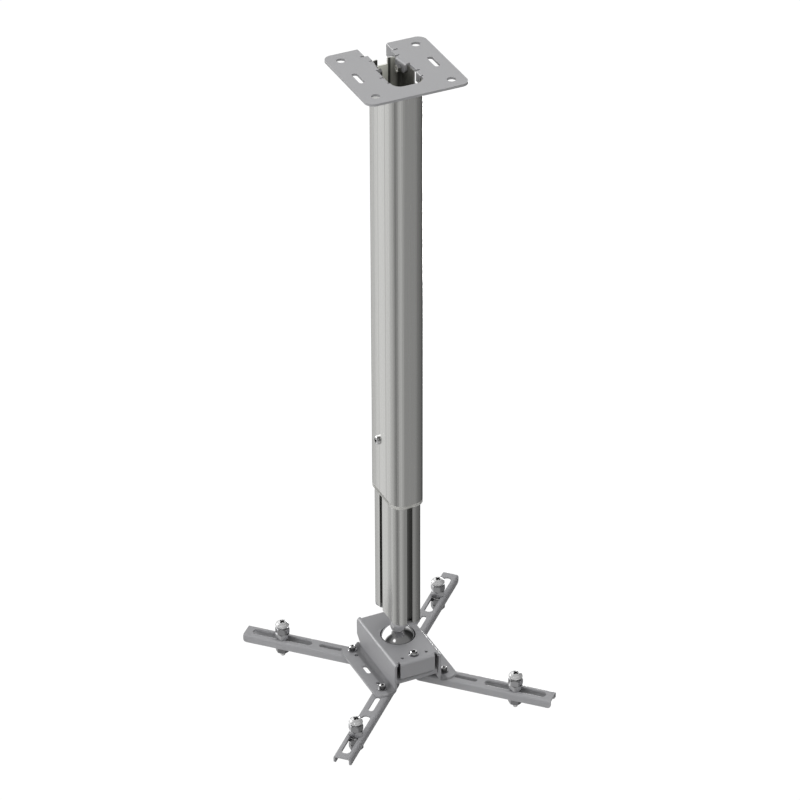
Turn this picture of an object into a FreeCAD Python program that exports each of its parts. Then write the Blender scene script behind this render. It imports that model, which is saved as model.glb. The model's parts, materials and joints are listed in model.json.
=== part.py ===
import FreeCAD, Part
import math
import os
import Sketcher

# A telescopic ceiling mount for a projector. The origin is the middle of the ceiling plate's top
# face, +Z points up, -Y is the side with the clamp screw and +Y the side that lets the cable in.

doc = FreeCAD.newDocument("projector_ceiling_mount")
sheet = doc.addObject("Spreadsheet::Sheet", "dims")

# Directions of the sketch planes: the third one is the way a pad grows
ALONG_Z = "XY_Plane"
ALONG_MINUS_Y = "XZ_Plane"
ALONG_X = "YZ_Plane"

HEAD_ROUND_SHARE = 0.6  # share of a screw head's height that its round edge takes
NUT_TURN = 20  # degrees by which one nut of each hollow bolt is turned against the others


class Size:
    """A length together with the sheet expression that gives it, so that a shape stays bound."""

    def __init__(self, value, text):
        self.value = float(value)
        self.text = text

    def __add__(self, other):
        other = as_size(other)
        return Size(self.value + other.value, f"({self.text} + {other.text})")

    def __sub__(self, other):
        other = as_size(other)
        return Size(self.value - other.value, f"({self.text} - {other.text})")

    def __mul__(self, other):
        other = as_size(other)
        return Size(self.value * other.value, f"({self.text} * {other.text})")

    def __truediv__(self, other):
        other = as_size(other)
        return Size(self.value / other.value, f"({self.text} / {other.text})")

    def __neg__(self):
        return Size(-self.value, f"(-1 * {self.text})")

    def __radd__(self, other):
        return as_size(other) + self

    def __rsub__(self, other):
        return as_size(other) - self

    def __rmul__(self, other):
        return as_size(other) * self


def as_size(number):
    """Wraps a plain number, so that it can stand beside sizes."""
    if isinstance(number, Size):
        return number
    return Size(number, repr(float(number)))


def leg(long_side, short_side):
    """The other short side of a right-angled triangle."""
    value = math.sqrt(long_side.value ** 2 - short_side.value ** 2)
    return Size(value, f"sqrt({long_side.text} ^ 2 - {short_side.text} ^ 2)")


rows = []


def size(name, value, note):
    """Writes one driving dimension into the sheet and returns it."""
    rows.append(name)
    row = len(rows)
    sheet.set(f"A{row}", note)
    sheet.set(f"B{row}", str(value))
    sheet.setAlias(f"B{row}", name)
    return Size(value, f"dims.{name}")


ZERO = as_size(0)
BEYOND = as_size(1)  # how far a cut runs past the face that it opens

# Ceiling plate
plate_side = size("plate_side", 105, "side of the square ceiling plate")
plate_thickness = size("plate_thickness", 2.5, "sheet of the ceiling plate")
plate_corner = size("plate_corner", 9, "corner radius of the ceiling plate")
ceiling_hole_pitch = size("ceiling_hole_pitch", 77.5, "pitch of the four ceiling holes, both ways")
ceiling_hole = size("ceiling_hole", 8.6, "diameter of a ceiling hole")
ceiling_slot_length = size("ceiling_slot_length", 20.5, "length of a ceiling slot over its ends")
ceiling_slot_width = size("ceiling_slot_width", 5.5, "width of a ceiling slot")
mouth_width = size("mouth_width", 28.6, "clear width between the lips of the cable mouth")
lip_length = size("lip_length", 14.2, "length of the lip along each side of the mouth")
lip_depth = size("lip_depth", 13.4, "drop of the lip under the plate's top face")
throat_width = size("throat_width", 24, "width of the cut-out between the mouth and the tongues")
tongue_gap = size("tongue_gap", 0.1, "gap between a tongue's front edge and the column's inside")
tongue_lean = size("tongue_lean", 2.2, "how far a tongue leans inwards from its front to its back edge")
tongue_back = size("tongue_back", 25, "back edge of the tongues behind the axis")
tongue_length = size("tongue_length", 17.5, "width of a tongue, measured along the column's side")
tongue_bend = size("tongue_bend", 3.6, "outer radius of the bend into a tongue")
waist_width = size("waist_width", 33.6, "width of the cut-out between the tongues and the short tabs")
sharp_bend = size("sharp_bend", 2, "outer radius of the bends into a lip or a short tab")
tongue_depth = size("tongue_depth", 11.4, "drop of a tongue under the plate's top face")
tongue_corner = size("tongue_corner", 5, "radius of a tongue's lower corners")
tab_span = size("tab_span", 31.8, "clear width between the two short tabs")
tab_back = size("tab_back", 9.6, "back edge of the short tabs before the axis")
tab_length = size("tab_length", 9.8, "width of a short tab")
tab_depth = size("tab_depth", 10.6, "drop of the short tabs under the plate's top face")
wall_notch_back = size("wall_notch_back", 4.5, "column's notch for a short tab, back edge before the axis")
wall_notch_front = size("wall_notch_front", 20.2, "column's notch for a short tab, front edge")
wall_notch_depth = size("wall_notch_depth", 13, "depth of the column's notch for a short tab")
relief_width = size("relief_width", 1.8, "width of the relief cut beside each bend")
relief_reach = size("relief_reach", 2.4, "how far a relief cut runs into the plate")
cutout_front = size("cutout_front", 32, "distance of the cut-out's front edge from the axis")
cutout_corner = size("cutout_corner", 9, "radius of the cut-out's front corners")

# Columns
tube_width = size("tube_width", 35, "outer column across its flat sides")
tube_depth = size("tube_depth", 62, "outer column from front to back")
tube_corner = size("tube_corner", 12, "outer corner radius of the outer column")
tube_wall = size("tube_wall", 2.1, "wall of the outer column")
tube_length = size("tube_length", 468, "length of the outer column")
notch_width = size("notch_width", 10.4, "width of the cable notch in the back wall's top")
notch_depth = size("notch_depth", 6.5, "depth of the cable notch")
notch_offset = size("notch_offset", 0.35, "distance of the cable notch from the middle, towards -X")
ring_height = size("ring_height", 4.6, "height of the end ring under the outer column")
ring_taper = size("ring_taper", 0.9, "chamfer round the end ring's lower edge")
ring_clearance = size("ring_clearance", 0.15, "gap between the end ring and the inner column")
slide_clearance = size("slide_clearance", 0.25, "gap between the two columns")
inner_wall = size("inner_wall", 2, "wall of the inner column")
inner_length = size("inner_length", 400, "length of the inner column without its foot")
inner_drop = size("inner_drop", 141.5, "inner column showing below the end ring, without its foot")
groove_width = size("groove_width", 6, "width of the grooves in the inner column")
front_groove_depth = size("front_groove_depth", 5, "depth of the front and back grooves")
side_groove_depth = size("side_groove_depth", 4.3, "depth of the side groove for the lock screw")
side_groove_place = size("side_groove_place", 6.8, "distance of the side groove behind the axis")
foot_thickness = size("foot_thickness", 2.8, "plate of the foot that closes the inner column")
foot_block = size("foot_block", 18, "height of the foot's block inside the column")
glide_flange = size("glide_flange", 6, "height of the glide on top of the inner column")
glide_skirt = size("glide_skirt", 12, "depth of the glide's skirt inside the column")
glide_clearance = size("glide_clearance", 0.1, "gap between the glide and the outer column")
cable_way = size("cable_way", 12, "width of the cable way through the glide")

# Lock screw of the telescope and screws of the tongues
lock_height = size("lock_height", 59.5, "lock screw above the outer column's lower end")
lock_thread = size("lock_thread", 5, "thread of the lock screw")
lock_head = size("lock_head", 9.5, "head diameter of the lock screw")
lock_head_height = size("lock_head_height", 3.2, "head height of the lock screw")
lock_tip_gap = size("lock_tip_gap", 0.3, "gap between the lock screw's tip and the groove's floor")
tongue_screw_drop = size("tongue_screw_drop", 8.4, "tongue screws under the plate's top face")
tongue_thread = size("tongue_thread", 4, "thread of the tongue screws")
tongue_head = size("tongue_head", 8, "head diameter of the tongue screws")
tongue_head_height = size("tongue_head_height", 2.6, "head height of the tongue screws")
tongue_screw_length = size("tongue_screw_length", 9, "length of a tongue screw under its head")
tongue_nut_flats = size("tongue_nut_flats", 7, "across the flats of a tongue nut")
tongue_nut_height = size("tongue_nut_height", 3.2, "height of a tongue nut")

# Ball joint
ball_radius = size("ball_radius", 19, "radius of the ball")
neck_diameter = size("neck_diameter", 15.5, "neck between the ball and the foot")
stud_thread = size("stud_thread", 10, "threaded end of the ball stud")
stud_nut_flats = size("stud_nut_flats", 16, "across the flats of the stud's nut")
stud_nut_height = size("stud_nut_height", 6, "height of the stud's nut")
stud_end = size("stud_end", 3, "thread standing out of the stud's nut")
liner_wall = size("liner_wall", 0.7, "wall of the liner between the ball and the clamp plate")
liner_top = size("liner_top", 2, "top rim of the liner below the ball's centre")
liner_bottom = size("liner_bottom", 14.6, "bottom rim of the liner below the ball's centre")
running_gap = size("running_gap", 0.05, "gap of every turning fit")

# Bracket housing
housing_width = size("housing_width", 52, "housing over its side walls")
housing_length = size("housing_length", 91.4, "housing from front to back")
housing_front = size("housing_front", 47.8, "front of the housing before the axis")
housing_height = size("housing_height", 33.3, "housing from its top to the flanges' top")
housing_sheet = size("housing_sheet", 2.5, "sheet of the housing")
housing_drop = size("housing_drop", 29, "housing's top under the foot of the column")
flange_span = size("flange_span", 91.4, "housing over both flanges")
flange_corner = size("flange_corner", 9, "corner radius of the flanges")
top_bend = size("top_bend", 1, "inner radius of the bends along the housing's top")
foot_bend = size("foot_bend", 3.7, "inner radius of the bends into the flanges")
flap_width = size("flap_width", 38, "width of the front and back flaps")
flap_height = size("flap_height", 19, "height of the front flap with the housing's sheet")
back_flap_height = size("back_flap_height", 27, "height of the back flap with the housing's sheet")
corner_relief_width = size("corner_relief_width", 3, "relief cut beside a flap, across")
corner_relief_depth = size("corner_relief_depth", 4, "relief cut beside a flap, from its front face")
ball_hole = size("ball_hole", 36, "hole for the ball in the housing's top")
clamp_screw_place = size("clamp_screw_place", 38, "clamp screw before the axis")
pilot_hole = size("pilot_hole", 3.4, "small holes beside the clamp screw")
pilot_spread = size("pilot_spread", 26.5, "distance between the two small holes")
pilot_place = size("pilot_place", 39.2, "small holes before the axis")
flange_slot_length = size("flange_slot_length", 14.2, "slot in each flange over its ends")
flange_slot_width = size("flange_slot_width", 5.2, "width of the slot in each flange")
flange_slot_place = size("flange_slot_place", 35, "slot in each flange from the middle plane")
stop_hole = size("stop_hole", 4, "small hole beside each pivot")
stop_hole_step = size("stop_hole_step", 10, "small hole from its pivot, towards the middle")
back_notch_length = size("back_notch_length", 7.5, "cut at the rear end of each wall's foot bend")
back_notch_height = size("back_notch_height", 14, "height of that cut above the flange's top")

# Clamp plate under the ball
clamp_hole = size("clamp_hole", 31.25, "hole in the clamp plate that holds the ball from below")
clamp_side_gap = size("clamp_side_gap", 0.4, "gap between the clamp plate and the housing's walls")
clamp_sheet = size("clamp_sheet", 2.5, "sheet of the clamp plate")
clamp_bend = size("clamp_bend", 2.25, "outer radius of the bend into that lip")
clamp_lip = size("clamp_lip", 5.5, "height of the clamp plate's front lip with its sheet")
hook_width = size("hook_width", 16, "tongue of the clamp plate through the back flap")
hook_reach = size("hook_reach", 2, "how far that tongue stands out behind the flap")
hook_gap = size("hook_gap", 0.2, "gap round that tongue in its window")
clamp_thread = size("clamp_thread", 5, "thread of the clamp screw")
clamp_head = size("clamp_head", 8, "head diameter of the clamp screw")
clamp_head_height = size("clamp_head_height", 3.4, "head height of the clamp screw")
clamp_washer = size("clamp_washer", 10.5, "washer of the clamp screw")
clamp_washer_height = size("clamp_washer_height", 1, "thickness of that washer")
clamp_nut_flats = size("clamp_nut_flats", 8, "across the flats of the clamp nut")
clamp_nut_height = size("clamp_nut_height", 4, "height of the clamp nut")
screw_play = size("screw_play", 0.3, "extra diameter of a hole that a screw passes through")
screw_end = size("screw_end", 1, "screw standing out of its nut")

# Arms
pivot_span = size("pivot_span", 69, "distance between the left and right pivots")
pivot_length = size("pivot_length", 73, "distance between the front and back pivots")
pivot_thread = size("pivot_thread", 4, "thread of the pivot screws")
pivot_head = size("pivot_head", 7, "head diameter of the pivot screws")
pivot_head_height = size("pivot_head_height", 4.4, "head height of the pivot screws")
pivot_washer = size("pivot_washer", 9.5, "washer of a pivot screw")
pivot_washer_height = size("pivot_washer_height", 1.2, "thickness of that washer")
pivot_nut_flats = size("pivot_nut_flats", 7, "across the flats of a pivot nut")
pivot_nut_height = size("pivot_nut_height", 3.2, "height of a pivot nut")
arm_width = size("arm_width", 18, "width of an arm")
arm_height = size("arm_height", 9.2, "height of an arm")
arm_sheet = size("arm_sheet", 1.8, "sheet of an arm")
arm_bend = size("arm_bend", 0.7, "inner radius of an arm's bends")
arm_inner = size("arm_inner", 27.5, "arm from its pivot to its inner end")
arm_outer = size("arm_outer", 117, "arm from its pivot to its outer end")
arm_corner = size("arm_corner", 3.5, "radius of the lower corners at an arm's ends")
short_slot_start = size("short_slot_start", 11.3, "start of the short slot, from the pivot")
short_slot_length = size("short_slot_length", 24.7, "length of the short slot over its ends")
short_slot_width = size("short_slot_width", 5.5, "width of the short slot")
long_slot_start = size("long_slot_start", 44.1, "start of the long slot, from the pivot")
long_slot_length = size("long_slot_length", 65.4, "length of the long slot over its ends")
long_slot_width = size("long_slot_width", 9, "width of the long slot")

# Hollow bolts and projector screws
bolt_thread = size("bolt_thread", 8, "thread of a hollow bolt")
bolt_bore = size("bolt_bore", 5.2, "bore of a hollow bolt")
bolt_head = size("bolt_head", 14, "head diameter of a hollow bolt")
bolt_head_height = size("bolt_head_height", 4.6, "head height of a hollow bolt")
bolt_head_gap = size("bolt_head_gap", 1.6, "bolt showing between its head and the upper nut")
bolt_end = size("bolt_end", 1.2, "hollow bolt standing out of the lower nut")
nut_flats = size("nut_flats", 13, "across the flats of a hollow bolt's nut")
nut_height = size("nut_height", 6.6, "height of a hollow bolt's nut")
bolt_washer = size("bolt_washer", 12.8, "washer between an arm and the nuts under it")
bolt_washer_height = size("bolt_washer_height", 1.6, "thickness of that washer")
projector_thread = size("projector_thread", 5, "thread of a projector screw")
projector_shank = size("projector_shank", 4.5, "its plain shank inside the hollow bolt")
projector_head = size("projector_head", 9, "head diameter of a projector screw")
projector_head_height = size("projector_head_height", 2.4, "head height of a projector screw")
projector_head_sink = size("projector_head_sink", 1.6, "projector head sunk in the bolt's head")
projector_tip = size("projector_tip", 5, "projector screw standing out of the hollow bolt")

doc.recompute()

# Heights and half widths that several pieces share
plate_under = -plate_thickness
tube_end = plate_under - tube_length
ring_end = tube_end - ring_height
inner_end = ring_end - inner_drop
inner_top = inner_end + inner_length
foot_under = inner_end - foot_thickness
housing_top = foot_under - housing_drop
housing_inside = housing_top - housing_sheet
flange_top = housing_top - housing_height
arm_top = flange_top - housing_sheet
arm_under = arm_top - arm_sheet

bore_width = tube_width - tube_wall * 2
bore_depth = tube_depth - tube_wall * 2
bore_corner = tube_corner - tube_wall
inner_width = bore_width - slide_clearance * 2
inner_depth = bore_depth - slide_clearance * 2
inner_corner = bore_corner - slide_clearance
block_half_width = inner_width / 2 - side_groove_depth - inner_wall
block_half_depth = inner_depth / 2 - front_groove_depth - inner_wall

liner_radius = ball_radius + running_gap + liner_wall
seat_radius = liner_radius + running_gap
ball_centre = housing_inside - leg(ball_radius + running_gap, ball_hole / 2)
clamp_top = ball_centre - leg(seat_radius, clamp_hole / 2)
clamp_under = clamp_top - clamp_sheet
housing_back = housing_length - housing_front

tongue_front_face = bore_width / 2 - plate_thickness - tongue_gap
tongue_back_face = tongue_front_face - tongue_lean
tongue_face = (tongue_back_face + tongue_front_face) / 2
tongue_slope = (tongue_front_face - tongue_back_face) / tongue_length
tongue_seat = tongue_face - tongue_slope * tongue_nut_flats / math.sqrt(3)
tongue_front = tongue_back - tongue_length
tongue_middle = tongue_back - tongue_length / 2
tab_face = tab_span / 2
tab_front = -tab_back - tab_length
lip_end = plate_side / 2 - lip_length

long_slot_middle = long_slot_start + long_slot_length / 2


# Sketching

def plane_of(body, role):
    """The body's own origin plane of that role."""
    return [item for item in body.Origin.OriginFeatures if item.Role == role][0]


def new_body(label):
    """A new body whose label names its file."""
    body = doc.addObject("PartDesign::Body", label)
    body.Label = label
    return body


def new_sketch(body, name, role, offset=ZERO):
    """A sketch on one of the body's planes, moved along that plane's normal."""
    sketch = body.newObject("Sketcher::SketchObject", f"{body.Label}_{name}")
    sketch.AttachmentSupport = (plane_of(body, role), [""])
    sketch.MapMode = "FlatFace"
    sketch.setExpression("AttachmentOffset.Base.z", offset.text)
    sketch.AttachmentOffset = FreeCAD.Placement(FreeCAD.Vector(0, 0, offset.value), FreeCAD.Rotation())
    return sketch


def bind(sketch, constraint, amount):
    """Adds a constraint with a value and ties the value to the sheet."""
    number = sketch.addConstraint(constraint)
    sketch.setExpression(f"Constraints[{number}]", amount.text)


def pin_point(sketch, shape, point, across, up):
    """Holds one point of a sketch element at a place given by two sizes."""
    bind(sketch, Sketcher.Constraint("DistanceX", shape, point, across.value), across)
    bind(sketch, Sketcher.Constraint("DistanceY", shape, point, up.value), up)


def draw_polygon(sketch, corners):
    """A closed outline of straight lines through corners given as pairs of sizes."""
    corners = [(as_size(across), as_size(up)) for across, up in corners]
    first = sketch.GeometryCount
    count = len(corners)
    for index in range(count):
        start = corners[index]
        end = corners[(index + 1) % count]
        line = Part.LineSegment(FreeCAD.Vector(start[0].value, start[1].value, 0),
                                FreeCAD.Vector(end[0].value, end[1].value, 0))
        sketch.addGeometry(line, False)
    for index in range(count):
        after = first + (index + 1) % count
        sketch.addConstraint(Sketcher.Constraint("Coincident", first + index, 2, after, 1))
    for index, (across, up) in enumerate(corners):
        pin_point(sketch, first + index, 1, across, up)


def draw_rectangle(sketch, left, right, low, high):
    """A rectangle between two places across and two places up."""
    draw_polygon(sketch, [(left, low), (right, low), (right, high), (left, high)])


def draw_circle(sketch, across, up, diameter):
    """A circle round a place."""
    across = as_size(across)
    up = as_size(up)
    circle = Part.Circle(FreeCAD.Vector(across.value, up.value, 0), FreeCAD.Vector(0, 0, 1),
                         diameter.value / 2)
    number = sketch.addGeometry(circle, False)
    bind(sketch, Sketcher.Constraint("Diameter", number, diameter.value), diameter)
    pin_point(sketch, number, 3, across, up)


def draw_rounded(sketch, across, up, width, depth, radius):
    """A rectangle with round corners about a place; a slot where the radius is half its width."""
    across = as_size(across)
    up = as_size(up)
    half_width = width / 2 - radius
    half_depth = depth / 2 - radius
    signs = [(1, 1), (-1, 1), (-1, -1), (1, -1)]
    arcs = []
    centres = []
    for turn, (side, end) in enumerate(signs):
        centre = (across + half_width * side, up + half_depth * end)
        circle = Part.Circle(FreeCAD.Vector(centre[0].value, centre[1].value, 0),
                             FreeCAD.Vector(0, 0, 1), radius.value)
        quarter = Part.ArcOfCircle(circle, turn * math.pi / 2, (turn + 1) * math.pi / 2)
        arcs.append(sketch.addGeometry(quarter, False))
        centres.append(centre)
    for index in range(4):
        after = (index + 1) % 4
        start = sketch.getPoint(arcs[index], 2)
        end = sketch.getPoint(arcs[after], 1)
        if start.distanceToPoint(end) < 1e-7:
            sketch.addConstraint(Sketcher.Constraint("Tangent", arcs[index], 2, arcs[after], 1))
        else:
            line = sketch.addGeometry(Part.LineSegment(start, end), False)
            sketch.addConstraint(Sketcher.Constraint("Tangent", arcs[index], 2, line, 1))
            sketch.addConstraint(Sketcher.Constraint("Tangent", line, 2, arcs[after], 1))
    for number, centre in zip(arcs, centres):
        pin_point(sketch, number, 3, *centre)
    bind(sketch, Sketcher.Constraint("Radius", arcs[0], radius.value), radius)
    for number in arcs[1:]:
        sketch.addConstraint(Sketcher.Constraint("Equal", arcs[0], number))


def draw_slot(sketch, across, up, length, width, along_x):
    """A slot with round ends about a place, lying along the sketch's first or second axis."""
    across = as_size(across)
    up = as_size(up)
    reach = (length - width) / 2
    step = (reach, ZERO) if along_x else (ZERO, reach)
    turn = 0 if along_x else math.pi / 2
    ends = []
    for sign in (1, -1):
        centre = (across + step[0] * sign, up + step[1] * sign)
        circle = Part.Circle(FreeCAD.Vector(centre[0].value, centre[1].value, 0),
                             FreeCAD.Vector(0, 0, 1), width.value / 2)
        start = turn + (-math.pi / 2 if sign > 0 else math.pi / 2)
        ends.append((sketch.addGeometry(Part.ArcOfCircle(circle, start, start + math.pi), False), centre))
    for (near, _), (far, _) in (ends, ends[::-1]):
        side = Part.LineSegment(sketch.getPoint(near, 2), sketch.getPoint(far, 1))
        line = sketch.addGeometry(side, False)
        sketch.addConstraint(Sketcher.Constraint("Tangent", near, 2, line, 1))
        sketch.addConstraint(Sketcher.Constraint("Tangent", line, 2, far, 1))
    for number, centre in ends:
        pin_point(sketch, number, 3, *centre)
    bind(sketch, Sketcher.Constraint("Radius", ends[0][0], width.value / 2), width / 2)
    sketch.addConstraint(Sketcher.Constraint("Equal", ends[0][0], ends[1][0]))


# Features

def pad(body, sketch, length, reverse=False):
    """Adds the sketch's outline, grown by a length."""
    feature = body.newObject("PartDesign::Pad", f"{sketch.Name}_pad")
    feature.Profile = sketch
    feature.Length = length.value
    feature.setExpression("Length", length.text)
    feature.Reversed = reverse
    doc.recompute()
    return feature


def pocket(body, sketch, length, reverse=False):
    """Cuts the sketch's outline over a length, and checks that something was cut."""
    before = body.Shape.Volume
    feature = body.newObject("PartDesign::Pocket", f"{sketch.Name}_cut")
    feature.Profile = sketch
    feature.Length = length.value
    feature.setExpression("Length", length.text)
    feature.Reversed = reverse
    doc.recompute()
    if not body.Shape.Volume < before:
        raise RuntimeError(f"{feature.Name} cuts nothing")
    return feature


def slab(body, name, role, from_offset, length, draw, cut=False):
    """Pads or cuts one sketch over a length that starts at an offset along the plane's normal."""
    sketch = new_sketch(body, name, role, from_offset)
    draw(sketch)
    doc.recompute()
    if cut:
        return pocket(body, sketch, length, reverse=True)
    return pad(body, sketch, length)


def edges_through(shape, direction, places):
    """Names of the straight edges along a direction whose middle lies at one of the places.

    A place is (x, y, z) with None for a coordinate that doesn't matter.
    """
    names = []
    for number, edge in enumerate(shape.Edges, 1):
        if edge.Curve.TypeId != "Part::GeomLine":
            continue
        way = edge.Curve.Direction
        if abs(abs(way.dot(direction)) - 1) > 1e-6:
            continue
        middle = edge.valueAt((edge.FirstParameter + edge.LastParameter) / 2)
        for place in places:
            wanted = [(have, as_size(want).value) for have, want in zip(middle, place) if want is not None]
            if all(abs(have - want) < 1e-3 for have, want in wanted):
                names.append(f"Edge{number}")
                break
    return names


def fillet(body, name, direction, places, radius):
    """Rounds the straight edges along a direction that pass through the places."""
    base = body.Tip
    names = edges_through(base.Shape, FreeCAD.Vector(*direction).normalize(), places)
    if not names:
        raise RuntimeError(f"{body.Label} has no edge to round for {name}")
    feature = body.newObject("PartDesign::Fillet", f"{body.Label}_{name}")
    feature.Base = (base, names)
    feature.Radius = radius.value
    feature.setExpression("Radius", radius.text)
    doc.recompute()
    return feature


def place(item, x=ZERO, y=ZERO, z=ZERO, rotation=None):
    """Puts an object at a place given by sizes, and ties the place to the sheet."""
    x = as_size(x)
    y = as_size(y)
    z = as_size(z)
    item.Placement = FreeCAD.Placement(FreeCAD.Vector(x.value, y.value, z.value),
                                       rotation or FreeCAD.Rotation())
    item.setExpression("Placement.Base.x", x.text)
    item.setExpression("Placement.Base.y", y.text)
    item.setExpression("Placement.Base.z", z.text)
    return item


TO_MINUS_X = FreeCAD.Rotation(FreeCAD.Vector(0, 1, 0), -90)
TO_PLUS_X = FreeCAD.Rotation(FreeCAD.Vector(0, 1, 0), 90)


def cylinder(name, diameter, height, x=ZERO, y=ZERO, z=ZERO, rotation=None):
    """A round bar that starts at a place and grows upwards, or the way it is turned."""
    item = doc.addObject("Part::Cylinder", name)
    item.setExpression("Radius", (diameter / 2).text)
    item.setExpression("Height", height.text)
    return place(item, x, y, z, rotation)


def hexagon(name, flats, height, x=ZERO, y=ZERO, z=ZERO, rotation=None):
    """A hexagonal bar that starts at a place and grows upwards, or the way it is turned."""
    item = doc.addObject("Part::Prism", name)
    item.Polygon = 6
    item.setExpression("Circumradius", (flats / math.sqrt(3)).text)
    item.setExpression("Height", height.text)
    return place(item, x, y, z, rotation)


def dome(name, diameter, height, x=ZERO, y=ZERO, z=ZERO, rotation=None):
    """A screw head: a low cylinder whose upper edge is rounded."""
    bar = cylinder(f"{name}_bar", diameter, height, x, y, z, rotation)
    doc.recompute()
    head = doc.addObject("Part::Fillet", name)
    head.Base = bar
    top = max(range(len(bar.Shape.Edges)), key=lambda index: rim_rank(bar, index))
    round_edge = HEAD_ROUND_SHARE * height.value
    head.Edges = [(top + 1, round_edge, round_edge)]
    return head


def rim_rank(bar, index):
    """How far an edge of a bar lies along the bar, for closed edges only."""
    edge = bar.Shape.Edges[index]
    if not edge.isClosed() or edge.Curve.TypeId != "Part::GeomCircle":
        return -1e9
    return bar.Placement.inverse().multVec(edge.CenterOfMass).z


def fuse(name, items):
    """Joins several shapes into one solid."""
    item = doc.addObject("Part::MultiFuse", name)
    item.Shapes = items
    item.Label = name
    return item


def cut(name, base, tool):
    """Takes one shape away from another."""
    item = doc.addObject("Part::Cut", name)
    item.Base = base
    item.Tool = tool
    item.Label = name
    return item


def group(name, items):
    """Puts equal fasteners together as separate solids under one name."""
    item = doc.addObject("Part::Compound", name)
    item.Links = items
    item.Label = name
    return item


def nut(name, flats, height, thread, x, y, z, rotation=None):
    """A hexagon nut whose hole fits its thread with the gap of a turning fit."""
    outside = hexagon(f"{name}_hexagon", flats, height, x, y, z, rotation)
    inside = cylinder(f"{name}_hole", thread + running_gap * 2, height, x, y, z, rotation)
    return cut(name, outside, inside)


def washer(name, diameter, height, thread, x, y, z):
    """A flat ring that fits over a thread."""
    outside = cylinder(f"{name}_disc", diameter, height, x, y, z)
    inside = cylinder(f"{name}_hole", thread + screw_play, height, x, y, z)
    return cut(name, outside, inside)


# Pieces

def make_ceiling_plate():
    """Square plate with a cable mouth, whose lips, tongues and tabs are bent down from its edges."""
    body = new_body("ceiling_plate")
    half = plate_side / 2
    outline = new_sketch(body, "outline", ALONG_Z, plate_under)
    draw_rounded(outline, ZERO, ZERO, plate_side, plate_side, plate_corner)
    doc.recompute()
    pad(body, outline, plate_thickness)

    lip_edge = mouth_width / 2
    side = [
        (lip_edge, half + BEYOND),
        (lip_edge, lip_end),
        (lip_edge + plate_thickness + relief_reach, lip_end),
        (lip_edge + plate_thickness + relief_reach, lip_end - relief_width),
        (throat_width / 2, lip_end - relief_width),
        (throat_width / 2, tongue_back + relief_width),
        (tongue_back_face + plate_thickness + relief_reach, tongue_back + relief_width),
        (tongue_back_face + plate_thickness + relief_reach, tongue_back),
        (tongue_back_face, tongue_back),
        (tongue_front_face, tongue_front),
        (tongue_front_face + plate_thickness + relief_reach, tongue_front),
        (tongue_front_face + plate_thickness + relief_reach, tongue_front - relief_width),
        (waist_width / 2, tongue_front - relief_width),
        (waist_width / 2, relief_width - tab_back),
        (tab_face + plate_thickness + relief_reach, relief_width - tab_back),
        (tab_face + plate_thickness + relief_reach, -tab_back),
        (tab_face, -tab_back),
        (tab_face, tab_front),
        (tab_face + plate_thickness, tab_front),
        (tab_face + plate_thickness, tab_front - relief_width),
        (tab_face, tab_front - relief_width),
        (tab_face, -cutout_front),
    ]
    mirrored = [(-x, y) for x, y in reversed(side)]
    slab(body, "cutout", ALONG_Z, plate_under, plate_thickness,
         lambda sketch: draw_polygon(sketch, side + mirrored), cut=True)
    fillet(body, "cutout_corners", (0, 0, 1),
           [(tab_face, -cutout_front, None), (-tab_face, -cutout_front, None)], cutout_corner)

    def bent_part(name, back_face, front_face, back, front, depth, bend):
        """A strip that hangs from the plate's edge on both sides of the cut-out."""
        strip = [
            (back_face, back),
            (front_face, front),
            (front_face + plate_thickness, front),
            (back_face + plate_thickness, back),
        ]

        def draw(sketch):
            draw_polygon(sketch, strip)
            draw_polygon(sketch, [(-x, y) for x, y in reversed(strip)])
        slab(body, name, ALONG_Z, -depth, depth, draw)
        for side in (1, -1):
            along = ((front_face - back_face).value * side, (front - back).value, 0)
            middle = ((back_face + front_face) / 2 * side, (back + front) / 2, ZERO)
            fillet(body, f"{name}_bend_{'right' if side > 0 else 'left'}", along, [middle], bend)

    bent_part("lips", lip_edge, lip_edge, half, lip_end, lip_depth, sharp_bend)
    bent_part("tongues", tongue_back_face, tongue_front_face, tongue_back, tongue_front, tongue_depth,
              tongue_bend)
    bent_part("tabs", tab_face, tab_face, -tab_back, tab_front, tab_depth, sharp_bend)
    lower = [(None, y, -tongue_depth) for y in (tongue_back, tongue_front)]
    fillet(body, "tongue_corners", (1, 0, 0), lower, tongue_corner)

    def draw_ceiling_holes(sketch):
        pitch = ceiling_hole_pitch / 2
        for x in (-pitch, pitch):
            for y in (-pitch, pitch):
                draw_circle(sketch, x, y, ceiling_hole)
            draw_slot(sketch, x, ZERO, ceiling_slot_length, ceiling_slot_width, along_x=False)
    slab(body, "ceiling_holes", ALONG_Z, plate_under, plate_thickness, draw_ceiling_holes, cut=True)

    slab(body, "tongue_holes", ALONG_X, -bore_width / 2, bore_width,
         lambda sketch: draw_circle(sketch, tongue_middle, -tongue_screw_drop, tongue_thread + screw_play),
         cut=True)
    return body


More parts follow.
